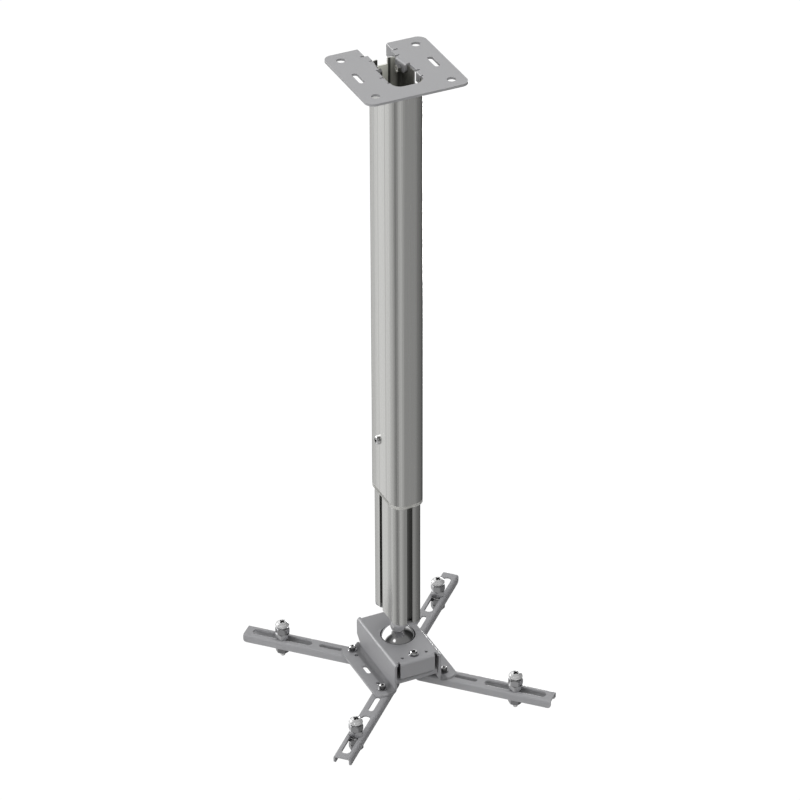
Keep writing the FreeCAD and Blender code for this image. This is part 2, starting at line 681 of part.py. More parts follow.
def make_outer_column():
    """Extruded outer tube with a cable notch, the lock screw's hole and holes for the tongue screws."""
    body = new_body("outer_column")

    def draw_section(sketch):
        draw_rounded(sketch, ZERO, ZERO, tube_width, tube_depth, tube_corner)
        draw_rounded(sketch, ZERO, ZERO, bore_width, bore_depth, bore_corner)
    slab(body, "section", ALONG_Z, tube_end, tube_length, draw_section)

    notch_left = -notch_offset - notch_width / 2
    slab(body, "cable_notch", ALONG_MINUS_Y, -tube_depth / 2, tube_depth / 2,
         lambda sketch: draw_rectangle(sketch, notch_left, notch_left + notch_width,
                                       plate_under - notch_depth, plate_under + BEYOND), cut=True)
    slab(body, "lock_hole", ALONG_X, -tube_width / 2, tube_width / 2,
         lambda sketch: draw_circle(sketch, side_groove_place, tube_end + lock_height,
                                    lock_thread + running_gap * 2), cut=True)
    slab(body, "wall_notches", ALONG_X, -tube_width / 2, tube_width,
         lambda sketch: draw_rectangle(sketch, -wall_notch_front, -wall_notch_back,
                                       plate_under - wall_notch_depth, plate_under + BEYOND), cut=True)
    slab(body, "tongue_holes", ALONG_X, -tube_width / 2, tube_width,
         lambda sketch: draw_circle(sketch, tongue_middle, -tongue_screw_drop, tongue_thread + screw_play),
         cut=True)
    return body


def make_end_ring():
    """Plastic ring under the outer column that guides the inner one."""
    body = new_body("end_ring")

    def draw_section(sketch):
        gap = ring_clearance * 2
        draw_rounded(sketch, ZERO, ZERO, tube_width, tube_depth, tube_corner)
        draw_rounded(sketch, ZERO, ZERO, inner_width + gap, inner_depth + gap,
                     inner_corner + ring_clearance)
    base = slab(body, "section", ALONG_Z, ring_end, ring_height, draw_section)
    rim = []
    for number, edge in enumerate(base.Shape.Edges, 1):
        box = edge.BoundBox
        wide = max(abs(box.XMin), abs(box.XMax)) > bore_width.value / 2
        deep = max(abs(box.YMin), abs(box.YMax)) > bore_depth.value / 2
        if (wide or deep) and box.ZMax < ring_end.value + 1e-3:
            rim.append(f"Edge{number}")
    feature = body.newObject("PartDesign::Chamfer", "end_ring_taper")
    feature.Base = (base, rim)
    feature.setExpression("Size", ring_taper.text)
    return body


def make_inner_column():
    """Extruded inner tube with a groove in front, one behind and one for the lock screw."""
    body = new_body("inner_column")

    def draw_section(sketch):
        draw_rounded(sketch, ZERO, ZERO, inner_width, inner_depth, inner_corner)
        draw_rounded(sketch, ZERO, ZERO, inner_width - inner_wall * 2, inner_depth - inner_wall * 2,
                     inner_corner - inner_wall)
    slab(body, "section", ALONG_Z, inner_end, inner_length, draw_section)

    rib = groove_width / 2 + inner_wall

    def draw_channels(sketch):
        for sign in (1, -1):
            near = (inner_depth / 2 - inner_wall / 2) * sign
            far = block_half_depth * sign
            low, high = (far, near) if sign > 0 else (near, far)
            draw_rectangle(sketch, -rib, rib, low, high)
        draw_rectangle(sketch, -inner_width / 2 + inner_wall / 2, -block_half_width,
                       side_groove_place - rib, side_groove_place + rib)
    slab(body, "channels", ALONG_Z, inner_end, inner_length, draw_channels)

    def draw_grooves(sketch):
        half = groove_width / 2
        face = inner_depth / 2
        draw_rectangle(sketch, -half, half, face - front_groove_depth, face + BEYOND)
        draw_rectangle(sketch, -half, half, -face - BEYOND, -face + front_groove_depth)
        face = inner_width / 2
        draw_rectangle(sketch, -face - BEYOND, -face + side_groove_depth,
                       side_groove_place - half, side_groove_place + half)
    slab(body, "grooves", ALONG_Z, inner_end, inner_length, draw_grooves, cut=True)
    return body


def make_inner_glide():
    """Plastic glide on top of the inner column: a flange that runs in the bore and a hollow skirt."""
    body = new_body("inner_glide")
    gap = glide_clearance * 2
    slab(body, "flange", ALONG_Z, inner_top, glide_flange,
         lambda sketch: draw_rounded(sketch, ZERO, ZERO, bore_width - gap, bore_depth - gap,
                                     bore_corner - glide_clearance))
    slab(body, "skirt", ALONG_Z, inner_top - glide_skirt, glide_skirt,
         lambda sketch: draw_rounded(sketch, ZERO, ZERO, block_half_width * 2, block_half_depth * 2,
                                     inner_wall))
    slab(body, "cable_way", ALONG_Z, inner_top - glide_skirt, glide_skirt + glide_flange,
         lambda sketch: draw_rounded(sketch, ZERO, ZERO, cable_way, block_half_depth * 2 - inner_wall * 2,
                                     inner_wall), cut=True)
    return body


def make_column_foot():
    """Foot that closes the inner column and carries the ball stud."""
    body = new_body("column_foot")
    slab(body, "plate", ALONG_Z, foot_under, foot_thickness,
         lambda sketch: draw_rounded(sketch, ZERO, ZERO, inner_width, inner_depth, inner_corner))
    slab(body, "block", ALONG_Z, inner_end, foot_block,
         lambda sketch: draw_rounded(sketch, ZERO, ZERO, block_half_width * 2, block_half_depth * 2,
                                     inner_wall))
    slab(body, "bore", ALONG_Z, foot_under, foot_thickness + foot_block,
         lambda sketch: draw_circle(sketch, ZERO, ZERO, stud_thread + running_gap * 2), cut=True)
    return body


def make_ball_joint():
    """Ball stud through the foot, its nut, and the liner on which the ball rests."""
    ball = doc.addObject("Part::Sphere", "ball")
    ball.setExpression("Radius", ball_radius.text)
    place(ball, z=ball_centre)
    neck = cylinder("ball_neck", neck_diameter, foot_under - running_gap - ball_centre, z=ball_centre)
    thread_length = foot_thickness + foot_block + running_gap * 2 + stud_nut_height + stud_end
    thread = cylinder("ball_thread", stud_thread, thread_length, z=foot_under - running_gap)
    fuse("ball_stud", [ball, neck, thread])
    nut("stud_nut", stud_nut_flats, stud_nut_height, stud_thread, ZERO, ZERO,
        inner_end + foot_block + running_gap)

    outer = doc.addObject("Part::Sphere", "liner_outside")
    outer.setExpression("Radius", liner_radius.text)
    place(outer, z=ball_centre)
    inner = doc.addObject("Part::Sphere", "liner_inside")
    inner.setExpression("Radius", (ball_radius + running_gap).text)
    place(inner, z=ball_centre)
    shell = cut("liner_shell", outer, inner)
    zone = cylinder("liner_zone", liner_radius * 3, liner_bottom - liner_top,
                    z=ball_centre - liner_bottom)
    liner = doc.addObject("Part::Common", "ball_liner")
    liner.Base = shell
    liner.Tool = zone
    liner.Label = "ball_liner"


def make_housing():
    """Folded bracket: a box open at its corners, whose walls turn out into two flanges."""
    body = new_body("bracket_housing")
    wall = housing_width / 2
    inside = wall - housing_sheet
    edge = flange_span / 2
    right_half = [
        (inside, housing_inside),
        (inside, arm_top),
        (edge, arm_top),
        (edge, flange_top),
        (wall, flange_top),
        (wall, housing_top),
    ]
    section = right_half + [(-x, z) for x, z in reversed(right_half)]
    slab(body, "section", ALONG_MINUS_Y, -housing_back, housing_length,
         lambda sketch: draw_polygon(sketch, section))
    across = (0, 1, 0)
    fillet(body, "top_outside", across, [(wall, None, housing_top), (-wall, None, housing_top)],
           top_bend + housing_sheet)
    fillet(body, "top_inside", across, [(inside, None, housing_inside), (-inside, None, housing_inside)],
           top_bend)
    fillet(body, "foot_outside", across, [(wall, None, flange_top), (-wall, None, flange_top)], foot_bend)
    fillet(body, "foot_inside", across, [(inside, None, arm_top), (-inside, None, arm_top)],
           foot_bend + housing_sheet)

    half = flap_width / 2
    slab(body, "front_flap", ALONG_Z, housing_top - flap_height, flap_height,
         lambda sketch: draw_rectangle(sketch, -half, half, -housing_front, housing_sheet - housing_front))
    slab(body, "back_flap", ALONG_Z, housing_top - back_flap_height, back_flap_height,
         lambda sketch: draw_rectangle(sketch, -half, half, housing_back - housing_sheet, housing_back))

    def draw_corner_reliefs(sketch):
        low = flap_width / 2
        high = low + corner_relief_width
        for front, back in ((-housing_front, corner_relief_depth - housing_front),
                            (housing_back - corner_relief_depth, housing_back)):
            draw_rectangle(sketch, low, high, front, back)
            draw_rectangle(sketch, -high, -low, front, back)
    slab(body, "corner_reliefs", ALONG_Z, housing_inside, housing_sheet, draw_corner_reliefs, cut=True)
    fillet(body, "flap_bends_outside", (1, 0, 0),
           [(ZERO, -housing_front, housing_top), (ZERO, housing_back, housing_top)],
           top_bend + housing_sheet)
    fillet(body, "flap_bends_inside", (1, 0, 0),
           [(ZERO, housing_sheet - housing_front, housing_inside),
            (ZERO, housing_back - housing_sheet, housing_inside)], top_bend)

    def draw_top_holes(sketch):
        draw_circle(sketch, ZERO, ZERO, ball_hole)
        draw_circle(sketch, ZERO, -clamp_screw_place, clamp_thread + screw_play)
        draw_circle(sketch, pilot_spread / 2, -pilot_place, pilot_hole)
        draw_circle(sketch, -pilot_spread / 2, -pilot_place, pilot_hole)
    slab(body, "top_holes", ALONG_Z, housing_inside, housing_sheet, draw_top_holes, cut=True)

    def draw_flange_holes(sketch):
        for side in (1, -1):
            x = pivot_span / 2 * side
            draw_slot(sketch, flange_slot_place * side, ZERO, flange_slot_length, flange_slot_width,
                      along_x=False)
            for end in (1, -1):
                draw_circle(sketch, x, pivot_length / 2 * end, pivot_thread + screw_play)
                draw_circle(sketch, x, (pivot_length / 2 - stop_hole_step) * end, stop_hole)
    slab(body, "flange_holes", ALONG_Z, arm_top, housing_sheet, draw_flange_holes, cut=True)

    corners = [(x, y, None) for x in (edge, -edge) for y in (-housing_front, housing_back)]
    fillet(body, "flange_corners", (0, 0, 1), corners, flange_corner)

    def draw_back_notch(sketch):
        draw_polygon(sketch, [
            (housing_back - back_notch_length, flange_top + housing_sheet),
            (housing_back + BEYOND, flange_top + housing_sheet),
            (housing_back + BEYOND, flange_top + back_notch_height),
            (housing_back, flange_top + back_notch_height),
            (housing_back - back_notch_length, flange_top + back_notch_height / 2)])
    notch_span = housing_sheet + foot_bend
    slab(body, "right_back_notch", ALONG_X, inside, notch_span, draw_back_notch, cut=True)
    slab(body, "left_back_notch", ALONG_X, -inside - notch_span, notch_span, draw_back_notch, cut=True)
    slab(body, "hook_window", ALONG_MINUS_Y, -housing_back, housing_sheet,
         lambda sketch: draw_rectangle(sketch, -hook_width / 2 - hook_gap, hook_width / 2 + hook_gap,
                                       clamp_under - hook_gap, clamp_top + hook_gap), cut=True)
    return body


def make_clamp_plate():
    """Plate that presses the ball up against the housing, hooked behind and screwed in front."""
    body = new_body("clamp_plate")
    half = housing_width / 2 - housing_sheet - clamp_side_gap
    front = -housing_front + housing_sheet + clamp_side_gap
    back = housing_back - housing_sheet - clamp_side_gap
    hook = housing_back + hook_reach

    def draw_outline(sketch):
        draw_polygon(sketch, [(-half, front), (half, front), (half, back), (hook_width / 2, back),
                              (hook_width / 2, hook), (-hook_width / 2, hook), (-hook_width / 2, back),
                              (-half, back)])
    slab(body, "outline", ALONG_Z, clamp_under, clamp_sheet, draw_outline)
    slab(body, "lip", ALONG_Z, clamp_top - clamp_lip, clamp_lip,
         lambda sketch: draw_rectangle(sketch, -half, half, front, front + clamp_sheet))
    fillet(body, "lip_bend", (1, 0, 0), [(None, front, clamp_top)], clamp_bend)

    def draw_holes(sketch):
        draw_circle(sketch, ZERO, ZERO, clamp_hole)
        draw_circle(sketch, ZERO, -clamp_screw_place, clamp_thread + screw_play)
    slab(body, "holes", ALONG_Z, clamp_under, clamp_sheet, draw_holes, cut=True)
    return body


def make_clamp_fasteners():
    """Clamp screw with its washer on the housing and its nut under the clamp plate."""
    y = -clamp_screw_place
    washer("clamp_washer", clamp_washer, clamp_washer_height, clamp_thread, ZERO, y, housing_top)
    seat = housing_top + clamp_washer_height
    low = clamp_under - clamp_nut_height - screw_end
    head = dome("clamp_screw_head", clamp_head, clamp_head_height, ZERO, y, seat)
    shank = cylinder("clamp_screw_shank", clamp_thread, seat - low, ZERO, y, low)
    fuse("clamp_screw", [head, shank])
    nut("clamp_nut", clamp_nut_flats, clamp_nut_height, clamp_thread, ZERO, y,
        clamp_under - clamp_nut_height)


def make_column_screws():
    """Lock screw of the telescope, and the screws and nuts that hold the tongues."""
    height = tube_end + lock_height
    tip = inner_width / 2 - side_groove_depth + lock_tip_gap
    head = dome("lock_screw_head", lock_head, lock_head_height, -tube_width / 2, side_groove_place, height,
                TO_MINUS_X)
    shank = cylinder("lock_screw_shank", lock_thread, tube_width / 2 - tip, -tip, side_groove_place,
                     height, TO_MINUS_X)
    fuse("lock_screw", [head, shank])

    screws = []
    nuts = []
    for side, turn in ((1, TO_PLUS_X), (-1, TO_MINUS_X)):
        name = "right" if side > 0 else "left"
        x = tube_width / 2 * side
        end = (tube_width / 2 - tongue_screw_length) * side
        inner = (tongue_seat - tongue_nut_height) * side
        head = dome(f"tongue_head_{name}", tongue_head, tongue_head_height, x, tongue_middle,
                    -tongue_screw_drop, turn)
        shank = cylinder(f"tongue_shank_{name}", tongue_thread, tongue_screw_length, end, tongue_middle,
                         -tongue_screw_drop, turn)
        screws.append(fuse(f"tongue_screw_{name}", [head, shank]))
        nuts.append(nut(f"tongue_nut_{name}", tongue_nut_flats, tongue_nut_height, tongue_thread, inner,
                        tongue_middle, -tongue_screw_drop, turn))
    group("tongue_screws", screws)
    group("tongue_nuts", nuts)


def pivots():
    """Names, places and directions of the four arms, counted round the bracket."""
    x = pivot_span / 2
    y = pivot_length / 2
    return [
        ("front_right", x, -y, -45),
        ("back_right", x, y, 45),
        ("back_left", -x, y, 135),
        ("front_left", -x, -y, -135),
    ]


def make_pivot_fasteners():
    """Screw, washer and nut of each arm's pivot."""
    screws = []
    washers = []
    nuts = []
    for name, x, y, _ in pivots():
        seat = flange_top + pivot_washer_height
        low = arm_under - pivot_nut_height - screw_end
        washers.append(washer(f"pivot_washer_{name}", pivot_washer, pivot_washer_height, pivot_thread,
                              x, y, flange_top))
        head = dome(f"pivot_head_{name}", pivot_head, pivot_head_height, x, y, seat)
        shank = cylinder(f"pivot_shank_{name}", pivot_thread, seat - low, x, y, low)
        screws.append(fuse(f"pivot_screw_{name}", [head, shank]))
        nuts.append(nut(f"pivot_nut_{name}", pivot_nut_flats, pivot_nut_height, pivot_thread, x, y,
                        arm_under - pivot_nut_height))
    group("pivot_screws", screws)
    group("pivot_washers", washers)
    group("pivot_nuts", nuts)


def make_arm(name, x, y, angle):
    """Folded channel, open below, with its pivot hole, a short slot and a long slot.

    It is drawn along +X from its pivot and then turned about the pivot.
    """
    body = new_body(f"arm_{name}")
    half = arm_width / 2
    inside = half - arm_sheet
    length = arm_inner + arm_outer
    section = [
        (-half, -arm_height),
        (-inside, -arm_height),
        (-inside, -arm_sheet),
        (inside, -arm_sheet),
        (inside, -arm_height),
        (half, -arm_height),
        (half, ZERO),
        (-half, ZERO),
    ]
    slab(body, "section", ALONG_X, -arm_inner, length, lambda sketch: draw_polygon(sketch, section))
    along = (1, 0, 0)
    fillet(body, "outside", along, [(None, half, ZERO), (None, -half, ZERO)], arm_bend + arm_sheet)
    fillet(body, "inside", along, [(None, inside, -arm_sheet), (None, -inside, -arm_sheet)], arm_bend)
    fillet(body, "corners", (0, 1, 0),
           [(end, None, -arm_height) for end in (-arm_inner, arm_outer)], arm_corner)

    def draw_holes(sketch):
        draw_circle(sketch, ZERO, ZERO, pivot_thread + running_gap * 2)
        draw_slot(sketch, short_slot_start + short_slot_length / 2, ZERO, short_slot_length,
                  short_slot_width, along_x=True)
        draw_slot(sketch, long_slot_middle, ZERO, long_slot_length, long_slot_width, along_x=True)
    slab(body, "holes", ALONG_Z, -arm_sheet, arm_sheet, draw_holes, cut=True)
    place(body, x, y, arm_top, FreeCAD.Rotation(FreeCAD.Vector(0, 0, 1), angle))
    return body


def make_projector_fixing(name, x, y, angle):
    """Hollow bolt through an arm's long slot, its washer and nuts, and the projector screw inside it."""
    heading = math.radians(angle)
    x = x + long_slot_middle * math.cos(heading)
    y = y + long_slot_middle * math.sin(heading)
    along_arm = FreeCAD.Rotation(FreeCAD.Vector(0, 0, 1), angle)
    turned = FreeCAD.Rotation(FreeCAD.Vector(0, 0, 1), angle + NUT_TURN)
    head_seat = arm_top + nut_height * 2 + bolt_head_gap
    head_top = head_seat + bolt_head_height
    washer_low = arm_under - bolt_washer_height
    bolt_low = washer_low - nut_height * 2 - bolt_end

    head = dome(f"bolt_head_{name}", bolt_head, bolt_head_height, x, y, head_seat)
    shank = cylinder(f"bolt_shank_{name}", bolt_thread, head_seat - bolt_low, x, y, bolt_low)
    solid = fuse(f"bolt_solid_{name}", [head, shank])
    bore = cylinder(f"bolt_bore_{name}", bolt_bore, head_top - bolt_low, x, y, bolt_low)
    sink = cylinder(f"bolt_sink_{name}", projector_head + screw_play, projector_head_sink, x, y,
                    head_top - projector_head_sink)
    cut(f"hollow_bolt_{name}", solid, fuse(f"bolt_hollow_{name}", [bore, sink]))

    screw_seat = head_top - projector_head_sink
    low = bolt_low - projector_tip
    cap = dome(f"projector_head_{name}", projector_head, projector_head_height, x, y, screw_seat)
    stem = cylinder(f"projector_stem_{name}", projector_shank, screw_seat - bolt_low, x, y, bolt_low)
    thread = cylinder(f"projector_thread_{name}", projector_thread, bolt_low - low, x, y, low)
    fuse(f"projector_screw_{name}", [cap, stem, thread])

    seats = [
        (arm_top + nut_height, along_arm),
        (arm_top, turned),
        (washer_low - nut_height, along_arm),
        (washer_low - nut_height * 2, along_arm),
    ]
    nuts = []
    for number, (seat, rotation) in enumerate(seats, 1):
        nuts.append(nut(f"bolt_nut_{name}_{number}", nut_flats, nut_height, bolt_thread, x, y, seat,
                        rotation))
    group(f"bolt_nuts_{name}", nuts)
    washer(f"bolt_washer_{name}", bolt_washer, bolt_washer_height, bolt_thread, x, y, washer_low)


make_ceiling_plate()
make_outer_column()
make_end_ring()
make_inner_column()
make_inner_glide()
make_column_foot()
make_ball_joint()
make_housing()
make_clamp_plate()
make_clamp_fasteners()
make_column_screws()
make_pivot_fasteners()
for arm_name, arm_x, arm_y, arm_angle in pivots():
    make_arm(arm_name, arm_x, arm_y, arm_angle)
    make_projector_fixing(arm_name, arm_x, arm_y, arm_angle)

pieces = ["ceiling_plate", "outer_column", "end_ring", "inner_column", "inner_glide", "column_foot",
          "ball_stud", "stud_nut", "ball_liner", "bracket_housing", "clamp_plate", "clamp_screw",
          "clamp_washer", "clamp_nut", "lock_screw", "tongue_screws", "tongue_nuts", "pivot_screws",
          "pivot_washers", "pivot_nuts"]
for arm_name, *_ in pivots():
    for kind in ("arm", "hollow_bolt", "projector_screw", "bolt_nuts", "bolt_washer"):
        pieces.append(f"{kind}_{arm_name}")

doc.recompute()
for item in doc.Objects:
    if "Invalid" in item.State or "Error" in item.State:
        raise RuntimeError(f"{item.Label} failed: {item.State}")
for piece in pieces:
    shape = doc.getObjectsByLabel(piece)[0].Shape
    if shape.isNull() or not shape.isValid():
        raise RuntimeError(f"{piece} has no valid shape")

os.makedirs("parts", exist_ok=True)
for piece in pieces:
    doc.getObjectsByLabel(piece)[0].Shape.exportStep(f"parts/{piece}.step")
print(len(pieces), "pieces written")
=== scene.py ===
import json
import math

import bmesh
import bpy
from mathutils import Matrix, Vector


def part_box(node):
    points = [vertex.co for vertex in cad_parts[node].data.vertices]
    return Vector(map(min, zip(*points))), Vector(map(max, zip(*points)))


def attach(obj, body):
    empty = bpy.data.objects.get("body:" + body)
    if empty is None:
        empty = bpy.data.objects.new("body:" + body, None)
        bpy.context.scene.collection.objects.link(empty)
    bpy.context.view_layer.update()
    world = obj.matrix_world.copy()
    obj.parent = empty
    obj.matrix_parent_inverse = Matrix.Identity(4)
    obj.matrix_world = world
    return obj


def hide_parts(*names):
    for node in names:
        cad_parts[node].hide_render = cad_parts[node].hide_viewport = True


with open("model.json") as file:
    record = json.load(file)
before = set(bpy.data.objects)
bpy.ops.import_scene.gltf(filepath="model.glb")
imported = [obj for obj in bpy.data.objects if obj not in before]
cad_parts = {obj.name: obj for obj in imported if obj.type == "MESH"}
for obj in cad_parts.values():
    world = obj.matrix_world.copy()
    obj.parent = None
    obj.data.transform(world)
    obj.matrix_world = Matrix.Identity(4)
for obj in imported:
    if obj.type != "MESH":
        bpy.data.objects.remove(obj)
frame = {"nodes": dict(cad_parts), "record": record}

bl_info = {
    "name": "Projector ceiling mount",
    "version": (1, 0, 0),
    "blender": (4, 5, 0),
    "location": "3D View > Sidebar > Ceiling Mount",
    "description": "Dresses the packed ceiling mount with soft edges, detailed fasteners and finishes",
    "category": "Object",
}

MM = 0.001
ARMS = ("front_right", "back_right", "back_left", "front_left")

# Both columns have round corners about the same four upright axes, here as their distance in X and Y
TUBE_CORNER = (5.5 * MM, 19 * MM)
OUTER_RADIUS = 12 * MM
INNER_RADIUS = 9.65 * MM

# Fasteners, with the sizes that they have on the part
TONGUE_SCREW = {"head": 8 * MM, "head_height": 2.6 * MM, "thread": 4 * MM, "length": 9 * MM}
LOCK_SCREW = {"head": 9.5 * MM, "head_height": 3.2 * MM, "thread": 5 * MM, "tip": 0.8 * MM}
CLAMP_SCREW = {"head": 8 * MM, "head_height": 3.4 * MM, "thread": 5 * MM, "tip": 0.6 * MM}
PIVOT_SCREW = {"head": 7 * MM, "head_height": 4.4 * MM, "thread": 4 * MM, "tip": 0.5 * MM,
               "round_share": 0.42}
PROJECTOR_SCREW = {"head": 9 * MM, "head_height": 2.4 * MM, "thread": 5 * MM, "tip": 1.2 * MM,
                   "recess": 0.8}
PIVOT_WASHER = 9.5 * MM
PIVOT_NUT_FLATS = 7 * MM
BOLT_HEAD = 14 * MM
BOLT_HEAD_HEIGHT = 4.6 * MM
BOLT_THREAD = 8 * MM
BOLT_BORE = 5.2 * MM
BOLT_SINK = 9.3 * MM  # the hole in the bolt's head that takes the projector screw's head
BOLT_SINK_DEPTH = 1.6 * MM
BOLT_HEAD_GAP = 1.6 * MM  # bolt showing between its head and the upper nut
BOLT_NUT_FLATS = 13 * MM
BOLT_NUT_HEIGHT = 6.6 * MM
BOLT_WASHER = 12.8 * MM
WASHER_PLAY = 0.3 * MM  # a washer's bore is wider than the thread by this
NUT_PLAY = 0.1 * MM

# Forms of the heads, as shares of a head's width
CROWN_RISE = 0.05  # how far its middle stands over its shoulder
CROWN_FLAT = 0.15  # radius of the flat in its middle
RECESS_WIDTH = 0.62
BLADE_SHARE = 0.31  # thickness of the recess's blades as a share of their width
BLADE_TAPER = 0.45  # their width at the recess's floor as a share of that at its top

# The hollow bolt's head and the screw sunk in it share one dome
DOME_FOOT = 0.9 * MM  # its lower edge over the bolt's seat
DOME_RISE = 4.5 * MM

# The stud under the foot
NECK_RADIUS = 7.75 * MM
STUD_THREAD_RADIUS = 5 * MM

# The housing's sheet, and the strips that close its back corners
SHEET = 2.5 * MM
SHEET_BEND = 3.5 * MM
FILLER_START = 4.05 * MM  # where a strip starts before the housing's back
FILLER_SPAN = (18.95 * MM, 22.05 * MM)  # its two edges from the middle plane


# Sizes and colours that a user may change

class MountSizes(bpy.types.PropertyGroup):
    """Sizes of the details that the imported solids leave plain."""

    sheet_edge: bpy.props.FloatProperty(
        name="Sheet edge", description="Width of the broken edges on the folded sheet parts",
        default=0.28 * MM, min=0, precision=5, unit="LENGTH")
    tube_edge: bpy.props.FloatProperty(
        name="Tube edge", description="Width of the broken edges on the columns",
        default=0.22 * MM, min=0, precision=5, unit="LENGTH")
    nut_chamfer: bpy.props.FloatProperty(
        name="Nut chamfer", description="Slope of the cone that trims a nut's corners",
        default=math.radians(30), subtype="ANGLE")
    recess_depth: bpy.props.FloatProperty(
        name="Recess depth", description="Depth of the cross recess as a share of the head's height",
        default=0.72, min=0.1, max=0.9, subtype="FACTOR")


class MountColours(bpy.types.PropertyGroup):
    """Colours of the finishes."""

    coat: bpy.props.FloatVectorProperty(
        name="Coat", description="Powder coat on the ceiling plate",
        default=(0.30, 0.30, 0.307), size=3, min=0, max=1, subtype="COLOR")
    bracket_coat: bpy.props.FloatVectorProperty(
        name="Bracket coat", description="Powder coat on the bracket and the arms",
        default=(0.30, 0.30, 0.31), size=3, min=0, max=1, subtype="COLOR")
    aluminium: bpy.props.FloatVectorProperty(
        name="Aluminium", description="Satin aluminium of the columns",
        default=(0.70, 0.70, 0.68), size=3, min=0, max=1, subtype="COLOR")
    plating: bpy.props.FloatVectorProperty(
        name="Plating", description="Bright plating on the ball and the fasteners",
        default=(0.82, 0.82, 0.82), size=3, min=0, max=1, subtype="COLOR")
    plastic: bpy.props.FloatVectorProperty(
        name="Plastic", description="Moulded plastic of the liner and the glide",
        default=(0.012, 0.012, 0.013), size=3, min=0, max=1, subtype="COLOR")


# Shader arithmetic

class Signal:
    """A shader value that takes part in plain arithmetic."""

    def __init__(self, finish, socket):
        self.finish = finish
        self.socket = socket

    def math(self, operation, *others):
        return self.finish.arithmetic(operation, self, *others)

    def __add__(self, other):
        return self.math("ADD", other)

    def __sub__(self, other):
        return self.math("SUBTRACT", other)

    def __rsub__(self, other):
        return self.finish.arithmetic("SUBTRACT", other, self)

    def __mul__(self, other):
        return self.math("MULTIPLY", other)

    def __truediv__(self, other):
        return self.math("DIVIDE", other)

    def __rtruediv__(self, other):
        return self.finish.arithmetic("DIVIDE", other, self)

    __radd__ = __add__
    __rmul__ = __mul__

    def distance_to(self, number):
        return (self - number).math("ABSOLUTE")

    def between(self, low, high):
        """0 below low, 1 above high, and a smooth step from one to the other."""
        return self.finish.node("ShaderNodeMapRange", {"interpolation_type": "SMOOTHSTEP"},
                                {"Value": self, "From Min": low, "From Max": high})

    def inside(self, low, high, blur):
        """1 from low to high and 0 elsewhere, with both edges blurred."""
        return self.between(low - blur, low + blur) * (1 - self.between(high - blur, high + blur))


def add_node(tree, kind, settings=None, sockets=None):
    """Any node: its settings first, then the values or links of its sockets."""
    made = tree.nodes.new(kind)
    for name, value in (settings or {}).items():
        if name == "stops":
            elements = made.color_ramp.elements
            while len(elements) < len(value):
                elements.new(1.0)
            for number, (position, colour) in enumerate(value):
                elements[number].position = position
                elements[number].color = colour
        else:
            setattr(made, name, value)
    for name, value in (sockets or {}).items():
        if isinstance(value, bpy.types.NodeSocket):
            tree.links.new(value, made.inputs[name])
        else:
            made.inputs[name].default_value = value
    return made


class Finish:
    """A material under construction."""

    def __init__(self, name):
        self.material = bpy.data.materials.new(name)
        self.material.use_nodes = True
        self.tree = self.material.node_tree
        self.tree.nodes.clear()
        self.place = self.node("ShaderNodeTexCoord", output="Object")

    def node(self, kind, settings=None, sockets=None, output=0):
        """Any shader node, whose sockets take values or signals."""
        given = {name: value.socket if isinstance(value, Signal) else value
                 for name, value in (sockets or {}).items()}
        return Signal(self, add_node(self.tree, kind, settings, given).outputs[output])

    def arithmetic(self, operation, *values):
        return self.node("ShaderNodeMath", {"operation": operation}, dict(enumerate(values)))

    def axis(self, name):
        """One coordinate of the place on the piece, in metres."""
        return self.node("ShaderNodeSeparateXYZ", None, {0: self.place}, output=name)

    def stretched(self, scale):
        """The place on the piece, scaled apart along the three axes."""
        return self.node("ShaderNodeMapping", None, {"Vector": self.place, "Scale": scale})

    def noise(self, scale, detail, place=None):
        """A noise of so many waves per metre, or per unit of a place that is given."""
        return self.node("ShaderNodeTexNoise", None,
                         {"Vector": place or self.place, "Scale": scale, "Detail": detail})

    def mix(self, factor, first, second):
        """A colour between two colours."""
        return self.node("ShaderNodeMix", {"data_type": "RGBA"}, {0: factor, 6: first, 7: second},
                         output=2)

    def bump(self, height, distance, strength):
        """A normal that follows a height."""
        return self.node("ShaderNodeBump", None,
                         {"Height": height, "Distance": distance, "Strength": strength})

    def finish(self, **sockets):
        """Ends the material in one shader whose sockets are given by name."""
        shader = self.node("ShaderNodeBsdfPrincipled", None,
                           {name.replace("_", " "): value for name, value in sockets.items()})
        add_node(self.tree, "ShaderNodeOutputMaterial", None, {"Surface": shader.socket})
        return self.material


def shade(colour, factor):
    """A colour made lighter or darker, with full cover."""
    return tuple(channel * factor for channel in colour) + (1.0,)


# Finishes

# The bends between the housing's sides and its flanges, where shade is painted: place and half width in X,
# height over a flange
FOOT_BEND = 29 * MM
FOOT_BEND_REACH = 5.5 * MM
FOOT_BEND_HEIGHT = 3 * MM
FOOT_BEND_FADE = 4 * MM

FINE_BUMP = 0.02 * MM  # height of the finest unevenness in the coats and platings
BULGE_RADIUS = 0.18  # radius to which a column's flat sides bulge, in metres
LINE_HEIGHT = 0.004 * MM  # height of the fine lines along the columns
GROOVE_BLUR = 0.3 * MM

# Darker lines along the columns, which stand for draw marks and also paint the shade of reflections:
# (place in Y, width, strength)
OUTER_LINES_AND_SHADE = ((13.3 * MM, 0.9 * MM, 0.25), (4.2 * MM, 0.9 * MM, 0.4), (-11.5 * MM, 1.2 * MM, 0.45))
INNER_LINES_AND_SHADE = ((-14 * MM, 6 * MM, 0.4),)

# Grooves of the inner column in front, behind and at its side, with painted shade in them: (lowest,
# highest) corner in X and Y
INNER_GROOVES = (((-3 * MM, -28.3 * MM), (3.2 * MM, -20 * MM)),
                 ((-3 * MM, 20 * MM), (3 * MM, 28.3 * MM)),
                 ((-15.5 * MM, 3.8 * MM), (-10 * MM, 9.8 * MM)))
